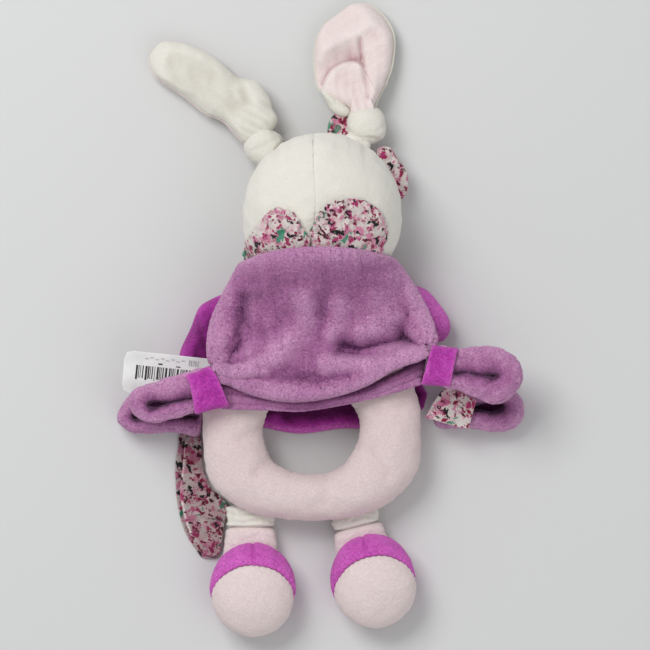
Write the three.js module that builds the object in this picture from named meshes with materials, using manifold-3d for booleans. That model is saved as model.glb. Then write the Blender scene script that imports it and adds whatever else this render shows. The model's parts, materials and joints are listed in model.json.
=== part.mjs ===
// Plush rabbit comforter with a grip ring, lying on its front, in millimetres.
// +X is the toy's right-hand side seen from above, +Y runs from the feet to the ears, and +Z is up, away
// from the surface that it lies on. The origin is the middle of the outline, on that surface.
import * as THREE from "three";
import { mergeVertices } from "three/addons/utils/BufferGeometryUtils.js";
import Module from "manifold-3d";

const wasm = await Module();
wasm.setup();

// ---- driving dimensions ----
const GAP = 0.35; // between pieces that touch
const CLOTH = 1.3; // a cut panel of velour with its seam allowance
const FIBRE_GAP = 0.8; // between a skin and the stuffing in it
const HEAD = { x: 0, y: 52, z: 33, rx: 40, ry: 41, rz: 33 };
const TURN_ROOM = 5; // kept round the head, so that it can turn on its neck
const NECK_Y = 13; // where the head meets the bodice
const WAIST_Y = -9; // where the grip ring and the skirt front are sewn to the bodice
const RING = {
  x: -5,
  y: -56,
  outerX: 55.5,
  outerY: 46.5,
  innerX: 23.3,
  innerY: 21.5,
  outerPower: 2 / 2.65, // the outer edge is a little squarer than an ellipse
  innerPower: 0.92, // and the inner one a very little rounder
  halfHeight: 12.5,
  tilt: 0.05, // rise of its top edge over the skirt front
};
const FACE_SEAM_Z = HEAD.z - 4; // the face panel is sewn on just below the head's widest line
const BACK_SEAM_X = -4.2; // seam between the two back panels of the head
const FACE_FLAT = 0.8; // the face is pressed flat this high, where the nose's embroidery is
const PETAL = 1.8; // thickness of a gathered collar petal
const KNOT_RADIUS = 9.5; // of the knot in each ear's own cloth
const EAR_LEFT = { x: -28.7, y: 86, z: 12, angle: 142 };
const EAR_RIGHT = { x: 22.5, y: 97, z: 13, angle: 96 };
const EAR_LOFT = { upper: 5, lower: 4 }; // how far an ear's two cloths stand off its middle
const SKIRT_FRONT = 3; // thickness of the skirt front, which lies flat
const SKIRT_BACK = 3.6; // thickness of the skirt back, two layers of velour
const FRONT_BOW = { low: 0, high: 17 }; // heights of the bow loops under the ring
const BACK_BOW = { low: 29.2, high: 41.8 }; // heights of the bow loops over the ring
const HIP_Y = -99;
const LEG_HALF = 6.5; // half the thickness of a leg
const LEG_WIDE = 12; // half the width of a thigh
const THIGH = 5.5; // the cream thigh shows this far below the hip
const FOOT = { rx: 21.5, ry: 23, rz: 14.5, soleTilt: 32, soleStart: 3.2 };
const BIG = 200; // larger than the toy, for cutting spaces

// ---- materials ----
const plush = (color, roughness = 0.95) =>
  new THREE.MeshStandardMaterial({ color, roughness, metalness: 0 });
const CREAM = plush(0xe9e6db);
const PINK = plush(0xe3cdcf);
const MAUVE = plush(0x9a5f9c);
const PURPLE = plush(0xb83bb8);
const FLORAL = plush(0xe3b7c4, 0.8);
const SATIN = plush(0xf1f0ee, 0.5);
const FIBRE = plush(0xf4f3ef);
const THREAD = plush(0x6c5560, 0.7);
const PINK_THREAD = plush(0xc9788f, 0.7);

// ---- geometry helpers ----
const v2 = (x, y) => new THREE.Vector2(x, y);
const v3 = (x, y, z) => new THREE.Vector3(x, y, z);
const rad = THREE.MathUtils.degToRad;
const lerp = THREE.MathUtils.lerp;

// A closed BufferGeometry as a manifold-3d solid.
function solidOf(geometry) {
  const bare = new THREE.BufferGeometry();
  bare.setAttribute("position", geometry.getAttribute("position").clone());
  if (geometry.index) bare.setIndex(geometry.index.clone());
  const merged = mergeVertices(bare, 1e-4);
  return new wasm.Manifold(
    new wasm.Mesh({
      numProp: 3,
      vertProperties: merged.attributes.position.array,
      triVerts: new Uint32Array(merged.index.array),
    }),
  );
}

// A manifold-3d solid as a BufferGeometry.
function geometryOf(solid) {
  const mesh = solid.getMesh();
  const positions = new Float32Array(mesh.numVert * 3);
  for (let i = 0; i < mesh.numVert; i++)
    positions.set(mesh.vertProperties.subarray(i * mesh.numProp, i * mesh.numProp + 3), i * 3);
  const geometry = new THREE.BufferGeometry();
  geometry.setAttribute("position", new THREE.BufferAttribute(positions, 3));
  geometry.setIndex(new THREE.BufferAttribute(mesh.triVerts, 1));
  geometry.computeVertexNormals();
  return geometry;
}

// A closed skin over rings of points, each a closed loop of the same count, with the two ends filled in.
// When the last ring joins the first, closed is true and there are no ends.
function loft(rings, closed = false) {
  const count = rings[0].length;
  const points = rings.flat();
  const faces = [];
  const spans = closed ? rings.length : rings.length - 1;
  for (let i = 0; i < spans; i++)
    for (let j = 0; j < count; j++) {
      const a = i * count + j;
      const b = i * count + ((j + 1) % count);
      const c = ((i + 1) % rings.length) * count + j;
      const d = ((i + 1) % rings.length) * count + ((j + 1) % count);
      faces.push(a, b, d, a, d, c);
    }
  if (!closed)
    for (const end of [0, rings.length - 1]) {
      const middle = new THREE.Vector3();
      rings[end].forEach((p) => middle.addScaledVector(p, 1 / count));
      points.push(middle);
      for (let j = 0; j < count; j++) {
        const a = end * count + j;
        const b = end * count + ((j + 1) % count);
        faces.push(...(end === 0 ? [points.length - 1, b, a] : [points.length - 1, a, b]));
      }
    }
  return facingOut(points, faces);
}

// Builds the geometry, and turns every face round if the faces point inwards.
function facingOut(points, faces) {
  let volume = 0;
  for (let i = 0; i < faces.length; i += 3) {
    const [a, b, c] = [points[faces[i]], points[faces[i + 1]], points[faces[i + 2]]];
    volume += a.dot(b.clone().cross(c));
  }
  if (volume < 0) faces.reverse();
  const geometry = new THREE.BufferGeometry().setFromPoints(points);
  geometry.setIndex(faces);
  geometry.computeVertexNormals();
  return geometry;
}

// A sheet of even thickness: rows of points on its upper face, and the same points lower down.
function sheet(rows, thickness) {
  const rings = rows.map((row) => [
    ...row,
    ...row.map((p) => v3(p.x, p.y, p.z - thickness)).reverse(),
  ]);
  return loft(rings);
}

function ellipsoid({ x = 0, y = 0, z = 0, rx, ry, rz }, grow = 0, around = 18, down = 10) {
  const geometry = new THREE.SphereGeometry(1, around, down);
  return geometry.scale(rx + grow, ry + grow, rz + grow).translate(x, y, z);
}

function box(low, high) {
  const size = high.clone().sub(low);
  const middle = high.clone().add(low).multiplyScalar(0.5);
  return new THREE.BoxGeometry(size.x, size.y, size.z).translate(middle.x, middle.y, middle.z);
}

// An outline raised from z = low to z = high, with its rim rounded by bevel.
function slab(shape, low, high, bevel = 0, curveSegments = 5) {
  const geometry = new THREE.ExtrudeGeometry(shape, {
    depth: high - low - 2 * bevel,
    bevelEnabled: bevel > 0,
    bevelThickness: bevel,
    bevelSize: bevel,
    bevelOffset: -bevel,
    bevelSegments: 1,
    curveSegments,
  });
  return geometry.translate(0, 0, low + bevel);
}

// A straight-sided outline with one smooth curve through the given points.
function smoothShape(points, divisions = 20) {
  const curve = new THREE.SplineCurve([...points, points[0]].map(([x, y]) => v2(x, y)));
  return new THREE.Shape(curve.getPoints(divisions).slice(0, -1));
}

function cylinderAlongX({ y, z, radius, from, to }, segments = 16) {
  const geometry = new THREE.CylinderGeometry(radius, radius, to - from, segments);
  return geometry.rotateZ(Math.PI / 2).translate((from + to) / 2, y, z);
}

const part = new THREE.Group();

function add(name, geometry, material, parent = part) {
  const mesh = new THREE.Mesh(geometry, material);
  mesh.name = name;
  parent.add(mesh);
  return mesh;
}

// ---- head ----
const headSkin = solidOf(ellipsoid(HEAD));
const headInside = solidOf(ellipsoid(HEAD, -CLOTH));

function buildHead() {
  const shell = headSkin.subtract(headInside);
  const half = GAP / 2;
  const backLeft = box(v3(-BIG, -BIG, FACE_SEAM_Z + half), v3(BACK_SEAM_X - half, BIG, BIG));
  const backRight = box(v3(BACK_SEAM_X + half, -BIG, FACE_SEAM_Z + half), v3(BIG, BIG, BIG));
  const front = box(v3(-BIG, -BIG, FACE_FLAT), v3(BIG, BIG, FACE_SEAM_Z - half));
  add("head_back_left", geometryOf(shell.intersect(solidOf(backLeft))), CREAM);
  add("head_back_right", geometryOf(shell.intersect(solidOf(backRight))), CREAM);
  add("head_face", geometryOf(shell.intersect(solidOf(front))), CREAM);
  add("head_stuffing", ellipsoid(HEAD, -CLOTH - FIBRE_GAP), FIBRE);

  const nose = smoothShape([[-4.6, 53], [0, 54], [4.6, 53], [2.2, 49.4], [0, 48.2], [-2.2, 49.4]], 12);
  add("nose_embroidery", slab(nose, 0, FACE_FLAT - 0.3), PINK_THREAD);
  const eye = { x: 15, y: 61, radius: 2.6, depth: 20, stitch: 1.1 };
  const skin = solidOf(ellipsoid(HEAD, eye.stitch)).subtract(solidOf(ellipsoid(HEAD, GAP)));
  for (const [side, sign] of [["left", -1], ["right", 1]]) {
    const column = new THREE.CylinderGeometry(eye.radius, eye.radius, eye.depth, 12);
    column.rotateX(Math.PI / 2).translate(sign * eye.x, eye.y, eye.depth / 4);
    add(`eye_${side}`, geometryOf(skin.intersect(solidOf(column))), THREAD);
  }
}

// ---- collar: four petals that lie on the head, two behind and two under the chin ----
function buildCollar() {
  const cloth = solidOf(ellipsoid(HEAD, GAP + PETAL)).subtract(solidOf(ellipsoid(HEAD, GAP)));
  const left = [[-8, 20], [-7.6, 36], [-13, 50], [-22, 55], [-30, 50], [-37, 40], [-39, 28], [-24, 16]];
  const right = [[-4, 18], [-4.5, 42], [2, 54], [15, 59.5], [26, 57], [31.5, 49], [31, 34], [18, 16]];
  const chin = [[1, 16], [1.5, 30], [8, 39], [19, 40], [28, 34], [30, 24], [16, 14]];
  const behind = box(v3(-BIG, -BIG, HEAD.z + GAP), v3(BIG, BIG, BIG));
  const before = box(v3(-BIG, -BIG, 0.2), v3(BIG, BIG, HEAD.z - GAP));
  const make = (name, outline, half) => {
    const column = slab(smoothShape(outline, 18), -BIG, BIG);
    add(name, geometryOf(cloth.intersect(solidOf(column)).intersect(solidOf(half))), FLORAL);
  };
  make("collar_back_left", left, behind);
  make("collar_back_right", right, behind);
  make("collar_front_right", chin, before);
  make("collar_front_left", chin.map(([x, y]) => [-x, y]).reverse(), before);
}

// ---- ears: a root on the head, a knot that the ear turns about, and a blade of two cloths ----
// A blade follows a spine of [along, across, half width, height] stations, measured from the knot.
function bladeRings(spine, loft, direction) {
  const sides = 10;
  return spine.map(([along, across, half, height]) => {
    const ring = [];
    for (let i = 0; i < sides; i++) {
      const turn = (i / (sides - 1)) * Math.PI;
      const lift = Math.sin(turn) * loft + GAP / 2;
      ring.push(v3(along, across + Math.cos(turn) * half, height + direction * lift));
    }
    return ring;
  });
}

const knotSpace = (ear, grow) =>
  ellipsoid({ ...ear, rx: KNOT_RADIUS, ry: KNOT_RADIUS, rz: KNOT_RADIUS }, grow);

// The root runs from the head to the knot, and is hollowed where the knot turns.
function earRoot(ear) {
  const towardsHead = v3(HEAD.x - ear.x, HEAD.y - ear.y, HEAD.z - 8 - ear.z);
  const reach = towardsHead.length() * 0.55;
  const root = new THREE.CylinderGeometry(8, 6.5, reach, 12).translate(0, reach / 2, 0);
  root.applyQuaternion(new THREE.Quaternion().setFromUnitVectors(v3(0, 1, 0), towardsHead.normalize()));
  root.translate(ear.x, ear.y, ear.z);
  const inHead = solidOf(ellipsoid(HEAD, GAP));
  return geometryOf(solidOf(root).subtract(solidOf(knotSpace(ear, 0.5))).subtract(inHead));
}

function buildEar(side, ear, spine, upper, lower) {
  const turned = new THREE.Group();
  turned.position.set(ear.x, ear.y, ear.z);
  turned.rotation.z = rad(ear.angle);
  part.add(turned);
  add(`ear_${side}_${upper.name}`, loft(bladeRings(spine, EAR_LOFT.upper, 1)), upper.material, turned);
  add(`ear_${side}_${lower.name}`, loft(bladeRings(spine, EAR_LOFT.lower, -1)), lower.material, turned);
  add(`ear_${side}_knot`, knotSpace({ x: 0, y: 0, z: 0 }, 0), CREAM, turned);
  add(`ear_${side}_root`, earRoot(ear), CREAM);
}

function buildEars() {
  const outer = { name: "outer", material: CREAM };
  const lining = { name: "lining", material: PINK };
  const leftSpine = [
    [10.2, -6.5, 9.5, 0],
    [16, -9.6, 12, -1],
    [22, -10.6, 13.2, -3],
    [34, -8.1, 13.7, -5],
    [53, -7.6, 12.9, -6.5],
    [65, -4.6, 9.8, -7.5],
    [73, -3.6, 4, -7.8],
  ];
  buildEar("left", EAR_LEFT, leftSpine, outer, lining);
  const rightSpine = [
    [10.4, 2.5, 9.5, 0],
    [16.5, 4.2, 14.6, -2],
    [23, 4.2, 18.2, -4],
    [37, 2.4, 19.5, -6],
    [48, 0.5, 18.2, -7.5],
    [56, -1, 12.4, -8.5],
    [61.4, -2.6, 4.5, -8.8],
  ];
  // This ear is turned over, so that its lining faces up.
  buildEar("right", EAR_RIGHT, rightSpine, lining, outer);
}

// ---- floral ribbon tied round the root of the right ear ----
function buildEarRibbon() {
  const keptClear = solidOf(knotSpace(EAR_RIGHT, 1)).add(solidOf(ellipsoid(HEAD, 2 * GAP)));
  const end = (name, outline, low, high) => {
    const flat = slab(smoothShape(outline, 2 * outline.length), low, high, 1);
    add(name, geometryOf(solidOf(flat).subtract(keptClear)), FLORAL);
  };
  const short = [[3.5, 92], [4, 101], [8, 103.5], [13, 101], [13.5, 93], [9, 90]];
  const long = [[28, 86], [33, 85.5], [38, 79], [42.5, 72], [42.5, 63], [39.5, 62], [36, 70], [31, 79]];
  end("ear_ribbon_short_end", short, 9, 12.5);
  end("ear_ribbon_long_end", long, 10, 14);
}

// ---- bodice: the small stuffed trunk between the head and the ring ----
function buildBodice() {
  const section = ([y, halfX, top]) => {
    const outline = [];
    for (let i = 0; i <= 10; i++) {
      const turn = (i / 10) * Math.PI;
      outline.push(v3(Math.cos(turn) * halfX, y, lerp(8, top, Math.sin(turn) ** 0.6)));
    }
    outline.push(v3(-halfX + 3, y, 0), v3(halfX - 3, y, 0));
    return outline;
  };
  // [y, half width, height] from the waist to the neck
  const stations = [
    [WAIST_Y + GAP, 30, 34],
    [-4, 33, 38],
    [3, 33, 40],
    [9, 27, 39],
    [NECK_Y - 2.5, 20, 36],
  ];
  const headRoom = solidOf(ellipsoid(HEAD, TURN_ROOM));
  const core = { x: 0, y: 0.5, z: 20, rx: 24, ry: 7.5, rz: 14 };
  const hollow = solidOf(ellipsoid(core, 0.5, 14, 8));
  const turningGap = cylinderAlongX({ y: core.y, z: core.z, radius: 1.5, from: 0, to: 40 }, 8);
  const cover = solidOf(loft(stations.map(section))).subtract(headRoom).subtract(hollow);
  add("bodice", geometryOf(cover.subtract(solidOf(turningGap))), PURPLE);
  const filling = solidOf(ellipsoid(core, 0, 14, 8)).subtract(solidOf(ellipsoid(HEAD, TURN_ROOM + 1.5)));
  add("bodice_stuffing", geometryOf(filling), FIBRE);
}

// ---- arms: a stuffed sleeve from each shoulder, free to swing out ----
// A sleeve follows [x, y, half width, lowest z, highest z, angle of its width] stations from the shoulder.
function sleeve(path, grow) {
  const sides = 10;
  const rings = path.map(([x, y, half, low, high, angle]) => {
    const ring = [];
    for (let i = 0; i < sides; i++) {
      const turn = (i / sides) * 2 * Math.PI;
      const across = Math.cos(turn) * (half + grow);
      const up = (low + high) / 2 + Math.sin(turn) * ((high - low) / 2 + grow);
      ring.push(v3(x + Math.cos(rad(angle)) * across, y + Math.sin(rad(angle)) * across, up));
    }
    return ring;
  });
  return loft(rings);
}

function buildArm(side, path) {
  const filled = path.slice(1, -1);
  const [x, y] = path[1];
  const turningGap = box(v3(x - 1, y - 1, 0), v3(x + 1, y + 1, 10)); // hand-sewn shut after stuffing
  const cover = solidOf(sleeve(path, 0)).subtract(solidOf(sleeve(filled, -CLOTH)));
  add(`arm_${side}_sleeve`, geometryOf(cover.subtract(solidOf(turningGap))), PURPLE);
  add(`arm_${side}_stuffing`, sleeve(filled, -CLOTH - FIBRE_GAP), FIBRE);
}

function buildArms() {
  buildArm("left", [
    [-36.5, 10, 6, 4, 15, -18],
    [-41, 7.5, 9.5, 2, 18, -24],
    [-50, -3, 11.5, 1, 19.5, -28],
    [-57, -14, 11.8, 0, 19, -28],
    [-61, -22, 10.5, 0, 17.5, -28],
    [-64.5, -29.5, 4, 3, 12, -28],
  ]);
  buildArm("right", [
    [36, 11, 6, 4, 15, 42],
    [40.5, 7.5, 9.5, 2, 18, 44],
    [46.5, 3, 11.5, 1, 19.5, 46],
    [52.5, -2.5, 11, 0, 19, 48],
    [57.5, -6.5, 8.5, 1, 17, 48],
    [61, -9.5, 3.5, 4, 12, 48],
  ]);
}

// ---- grip ring: two annular panels sewn on their edges, round a tube of stuffing ----
const RING_STEPS = 22;
const PANEL_STEPS = 5;
const CORE_STEPS = 10;

// A place on the ring, shrink inside its skin. One turn goes round the ring, the other round its section.
function ringPoint(around, section, shrink) {
  const power = (value, exponent) => Math.sign(value) * Math.abs(value) ** exponent;
  const c = Math.cos(around);
  const s = Math.sin(around);
  const outer = v2(RING.outerX * power(c, RING.outerPower), RING.outerY * power(s, RING.outerPower));
  const inner = v2(RING.innerX * power(c, RING.innerPower), RING.innerY * power(s, RING.innerPower));
  const middle = outer.clone().add(inner).multiplyScalar(0.5);
  const half = outer.clone().sub(inner).multiplyScalar(0.5);
  half.setLength(half.length() - shrink);
  const flat = middle.addScaledVector(half, Math.cos(section));
  const up = Math.sin(section) * (RING.halfHeight - shrink);
  const raised = RING.halfHeight + SKIRT_FRONT + 2 * GAP + RING.tilt * flat.y;
  return v3(RING.x + flat.x, RING.y + flat.y, up + raised);
}

function ringLoft(sectionAt) {
  const rings = [];
  for (let i = 0; i < RING_STEPS; i++) rings.push(sectionAt((i / RING_STEPS) * 2 * Math.PI));
  return loft(rings, true);
}

// Half of the skin: above the seams when direction is 1, and under them when it is -1.
function ringPanel(direction) {
  const seam = 0.02; // each panel stops this turn short of the seam
  return ringLoft((around) => {
    const turns = [];
    for (let j = 0; j <= PANEL_STEPS; j++)
      turns.push(direction * lerp(seam, Math.PI - seam, j / PANEL_STEPS));
    const outside = turns.map((turn) => ringPoint(around, turn, 0));
    const inside = turns.map((turn) => ringPoint(around, turn, CLOTH)).reverse();
    return [...outside, ...inside];
  });
}

function ringCore(around) {
  const ring = [];
  for (let j = 0; j < CORE_STEPS; j++)
    ring.push(ringPoint(around, (j / CORE_STEPS) * 2 * Math.PI, CLOTH + 1.2));
  return ring;
}

// hips are the spaces that the tops of the legs turn in.
function buildRing(hips) {
  const cut = (geometry) => hips.reduce((rest, hip) => rest.subtract(solidOf(hip)), solidOf(geometry));
  add("ring_back_panel", geometryOf(cut(ringPanel(1))), PINK);
  add("ring_front_panel", geometryOf(cut(ringPanel(-1))), PINK);
  add("ring_stuffing", geometryOf(cut(ringLoft(ringCore))), FIBRE);
}

// ---- legs: a cream thigh, a pale sock, and a foot on an ankle ----
// ankle is how far down the leg the ankle is, and foot is the foot's middle, measured from the ankle.
const LEGS = {
  left: { x: -35.8, splay: 1, ankle: 17.5, foot: { x: 0.6, y: -19.4 } },
  right: { x: 16.5, splay: 14, ankle: 15, foot: { x: 1.2, y: -19 } },
};

// The space that a leg's rounded top turns in, open below for the swing forwards.
function hipSpace(leg) {
  const width = LEG_WIDE + 1.5;
  const radius = LEG_HALF + 0.7;
  const round = cylinderAlongX({ y: 0, z: 0, radius, from: -width, to: width });
  const below = box(v3(-width, -radius, -2 * LEG_HALF), v3(width, radius, 0));
  const space = geometryOf(solidOf(round).add(solidOf(below)));
  return space.rotateZ(rad(leg.splay)).translate(leg.x, HIP_Y, LEG_HALF);
}

// A flat tube down a leg, rounded at either end, in the leg's own frame, whose origin is the hip.
function legBar(from, to, roundTop, roundBottom, half) {
  const outline = new THREE.Shape();
  outline.moveTo(to, -LEG_HALF);
  if (roundBottom) outline.absarc(to, 0, LEG_HALF, -Math.PI / 2, Math.PI / 2, false);
  else outline.lineTo(to, LEG_HALF);
  outline.lineTo(from, LEG_HALF);
  if (roundTop) outline.absarc(from, 0, LEG_HALF, Math.PI / 2, 1.5 * Math.PI, false);
  else outline.lineTo(from, -LEG_HALF);
  outline.closePath();
  // x of the outline becomes -y, its y becomes z, and the depth becomes -x.
  const placed = new THREE.Matrix4().makeBasis(v3(0, -1, 0), v3(0, 0, 1), v3(-1, 0, 0));
  return slab(outline, -half, half, 1.6, 6).applyMatrix4(placed);
}

// The space kept round an ankle in the foot's own frame, open upwards along the leg.
function ankleSpace(leg, radius) {
  const round = cylinderAlongX({ y: -leg.foot.y, z: LEG_HALF - FOOT.rz, radius, from: -BIG, to: BIG });
  const beyond = box(v3(-BIG, -leg.foot.y - 3, -BIG), v3(BIG, BIG, BIG));
  return solidOf(round).add(solidOf(beyond));
}

function buildLeg(side) {
  const leg = LEGS[side];
  const limb = new THREE.Group();
  limb.position.set(leg.x, HIP_Y, LEG_HALF);
  limb.rotation.z = rad(leg.splay);
  part.add(limb);
  add(`leg_${side}_thigh`, legBar(0, THIGH, true, false, LEG_WIDE), CREAM, limb);
  add(`leg_${side}_sock`, legBar(THIGH + GAP, leg.ankle, false, true, LEG_WIDE + 1), PINK, limb);

  const foot = new THREE.Group();
  foot.position.set(leg.foot.x, leg.foot.y - leg.ankle, FOOT.rz - LEG_HALF);
  limb.add(foot);
  const soleHalf = box(v3(-BIG, -BIG, 0), v3(BIG, BIG, BIG));
  soleHalf.rotateX(rad(FOOT.soleTilt)).translate(0, 0, FOOT.soleStart);
  const soleAndSeam = soleHalf.clone().translate(0, 0, -GAP);
  const skin = solidOf(ellipsoid(FOOT)).subtract(solidOf(ellipsoid(FOOT, -CLOTH)));
  const shell = skin.subtract(ankleSpace(leg, LEG_HALF + 0.7));
  add(`foot_${side}_shoe`, geometryOf(shell.subtract(solidOf(soleAndSeam))), PURPLE, foot);
  add(`foot_${side}_sole`, geometryOf(shell.intersect(solidOf(soleHalf))), PINK, foot);
  const filling = solidOf(ellipsoid(FOOT, -CLOTH - FIBRE_GAP)).subtract(ankleSpace(leg, LEG_HALF + 2.6));
  add(`foot_${side}_stuffing`, geometryOf(filling), FIBRE, foot);
}

// ---- dress back: a loose panel that hangs from the neck over the ring, and the hem layer under it ----
const curve = (points) => new THREE.SplineCurve(points.map(([x, y]) => v2(x, y)));
const LEFT_EDGE = curve([[-38, 28], [-48, 14], [-54.5, -1], [-57, -15], [-49.5, -26]]);
const RIGHT_EDGE = curve([[37, 29], [46, 15], [52.5, 3], [56, -8], [52, -19]]);
const ROWS = 7;
const COLUMNS = 12;

// Rows of points from a function of u, from left to right, and v, from top to bottom.
function grid(rowCount, pointAt) {
  const rows = [];
  for (let j = 0; j <= rowCount; j++) {
    const row = [];
    for (let i = 0; i <= COLUMNS; i++) row.push(pointAt(i / COLUMNS, j / rowCount));
    rows.push(row);
  }
  return rows;
}

function backPoint(u, v) {
  const left = LEFT_EDGE.getPoint(v);
  const right = RIGHT_EDGE.getPoint(v);
  const across = Math.abs(2 * u - 1);
  const bow = lerp(6.5, -20, v) * (1 - across ** 2); // the top edge arches up, and the fold sags
  const edgeHeight = lerp(47, 36.5, v ** 0.6);
  const ridge = lerp(72, 41, THREE.MathUtils.smoothstep(v, 0, 0.7)); // over the nape, down to the ring
  const height = lerp(ridge, edgeHeight, across ** 2.4);
  return v3(lerp(left.x, right.x, u), lerp(left.y, right.y, u) + bow, height);
}

function hemPoint(u, v) {
  const across = Math.abs(2 * u - 1);
  const y = lerp(-30, -46, v) + lerp(-2.5, 6, u) + v * (5 * across ** 3 - 2 * (1 - across));
  return v3(lerp(-46, 46, u), y, lerp(36.5, 35, v) - 2 * across ** 3);
}

function buildDressBack() {
  const rows = grid(ROWS, backPoint);
  const panel = solidOf(sheet(rows, SKIRT_BACK)).subtract(solidOf(ellipsoid(HEAD, TURN_ROOM)));
  add("dress_back_panel", geometryOf(panel), MAUVE);
  const above = 30;
  const raised = rows.map((row) => row.map((p) => v3(p.x, p.y, p.z + above)));
  const underPanel = solidOf(sheet(raised, above + SKIRT_BACK + 2 * GAP));
  add("dress_back_hem", geometryOf(solidOf(sheet(grid(1, hemPoint), 2.6)).subtract(underPanel)), MAUVE);
}

// ---- bows: each skirt corner is drawn through a band into a loop ----
// A loop's outline in its own frame: neck at the origin, tip at x = length, and a slit down the middle.
function loopShape(length, half, neck) {
  const shape = new THREE.Shape();
  shape.moveTo(0, -neck);
  shape.bezierCurveTo(length * 0.3, -neck, length * 0.45, -half, length * 0.68, -half);
  shape.bezierCurveTo(length * 0.9, -half, length, -half * 0.55, length, 0);
  shape.bezierCurveTo(length, half * 0.55, length * 0.9, half, length * 0.68, half);
  shape.bezierCurveTo(length * 0.45, half, length * 0.3, neck, 0, neck);
  const slit = new THREE.Path();
  slit.moveTo(length * 0.3, -0.6);
  slit.lineTo(length * 0.8, -1.9);
  slit.lineTo(length * 0.8, 1.9);
  slit.lineTo(length * 0.3, 0.6);
  slit.closePath();
  shape.holes.push(slit);
  return shape;
}

function buildLoop(name, { x, y, angle, length, half, neck }, { low, high }) {
  const loop = new THREE.Group();
  loop.position.set(x, y, 0);
  loop.rotation.z = rad(angle);
  part.add(loop);
  add(name, slab(loopShape(length, half, neck), low, high, 2.2, 5), MAUVE, loop);
  return loop;
}

// An upright rounded rectangle about a height, traced into a shape or into a hole.
function roundedRectangle(path, middle, halfY, halfZ, corner) {
  const [y, z] = [halfY - corner, halfZ - corner];
  path.moveTo(halfY, middle - z);
  path.absarc(y, middle + z, corner, 0, Math.PI / 2, false);
  path.absarc(-y, middle + z, corner, Math.PI / 2, Math.PI, false);
  path.absarc(-y, middle - z, corner, Math.PI, 1.5 * Math.PI, false);
  path.absarc(y, middle - z, corner, 1.5 * Math.PI, 2 * Math.PI, false);
  return path;
}

// A flat tube round the neck of a loop, along the loop's x axis.
function bandGeometry(half, { low, high }, from, to) {
  const middle = (low + high) / 2;
  const halfZ = (high - low) / 2 + GAP;
  const outline = roundedRectangle(new THREE.Shape(), middle, half + CLOTH, halfZ + CLOTH, 3);
  outline.holes.push(roundedRectangle(new THREE.Path(), middle, half, halfZ, 1.8));
  const depth = to - from;
  const geometry = new THREE.ExtrudeGeometry(outline, { depth, bevelEnabled: false, curveSegments: 2 });
  const turned = new THREE.Matrix4().makeBasis(v3(0, 1, 0), v3(0, 0, 1), v3(1, 0, 0));
  return geometry.applyMatrix4(turned).translate(from, 0, 0);
}

function buildBows() {
  const neck = 8.2;
  const backLoops = {
    left: { x: -51.6, y: -35, angle: 194, length: 46, half: 11, neck },
    right: { x: 53.8, y: -22.5, angle: -9, length: 47, half: 14.5, neck },
  };
  const frontLoops = {
    left: { x: -61.5, y: -47.5, angle: 183.5, length: 40.6, half: 9.6, neck: 7 },
    right: { x: 58.5, y: -45.5, angle: -5, length: 43.6, half: 9.6, neck: 7 },
  };
  for (const side of ["left", "right"]) {
    const loop = buildLoop(`bow_back_loop_${side}`, backLoops[side], BACK_BOW);
    add(`bow_back_band_${side}`, bandGeometry(neck + 2.4, BACK_BOW, 1.2, 13), PURPLE, loop);
    buildLoop(`bow_front_loop_${side}`, frontLoops[side], FRONT_BOW);
  }
}

// ---- dress front: a flat panel under the ring, whose hem shows through it ----
function buildDressFront() {
  const outline = new THREE.Shape();
  outline.moveTo(-28, WAIST_Y - GAP);
  outline.lineTo(28, WAIST_Y - GAP);
  outline.quadraticCurveTo(50, -22, 57.5, -38.5);
  outline.lineTo(57.5, -51);
  outline.quadraticCurveTo(0, -62, -60.5, -54.5);
  outline.lineTo(-60.5, -40);
  outline.quadraticCurveTo(-48, -22, -28, WAIST_Y - GAP);
  add("dress_front_panel", slab(outline, 0, SKIRT_FRONT, 0.6, 6), PURPLE);
}

// ---- sewn-in label, ribbon tag and the floral ribbon tail ----
function buildLabel() {
  const label = new THREE.Group();
  label.position.set(-57.8, -30.5, 21);
  label.rotation.z = rad(-5);
  part.add(label);
  const { length, low, high, corner } = { length: 41, low: -9, high: 12.5, corner: 4 };
  const outline = new THREE.Shape();
  outline.moveTo(0, low);
  outline.lineTo(0, high);
  outline.lineTo(corner - length, high);
  outline.absarc(corner - length, high - corner, corner, Math.PI / 2, Math.PI, false);
  outline.lineTo(-length, low + corner);
  outline.absarc(corner - length, low + corner, corner, Math.PI, 1.5 * Math.PI, false);
  add("care_label", slab(outline, 0, 0.7, 0, 3), SATIN, label);
}

function buildRibbons() {
  const tag = new THREE.Shape([v2(58.5, -34.5), v2(52.6, -49.6), v2(73.7, -55.2), v2(77.6, -41)]);
  add("ribbon_tag", slab(tag, 18, 19.4), FLORAL);

  const under = [
    [-71.5, -59.5],
    [-73.6, -78],
    [-72, -96],
    [-67, -112],
    [-60, -121],
    [-52, -119],
    [-49.2, -104],
    [-50.5, -90],
    [-56, -76],
    [-58, -59.5],
  ];
  add("ribbon_tail_under", slab(smoothShape(under, 24), 0, 1.5), FLORAL);
  const upper = [
    [-68, -60],
    [-69.4, -78],
    [-70.4, -88],
    [-68, -98],
    [-63.5, -112],
    [-59, -119],
    [-53, -117.5],
    [-50.4, -104],
    [-51.5, -90],
    [-57, -76],
    [-59, -60],
  ];
  add("ribbon_tail_upper", slab(smoothShape(upper, 24), 1.5 + GAP, 3.6), FLORAL);
}

buildHead();
buildCollar();
buildEars();
buildEarRibbon();
buildBodice();
buildArms();
buildRing([hipSpace(LEGS.left), hipSpace(LEGS.right)]);
buildLeg("left");
buildLeg("right");
buildDressBack();
buildBows();
buildDressFront();
buildLabel();
buildRibbons();

export default part;
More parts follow.
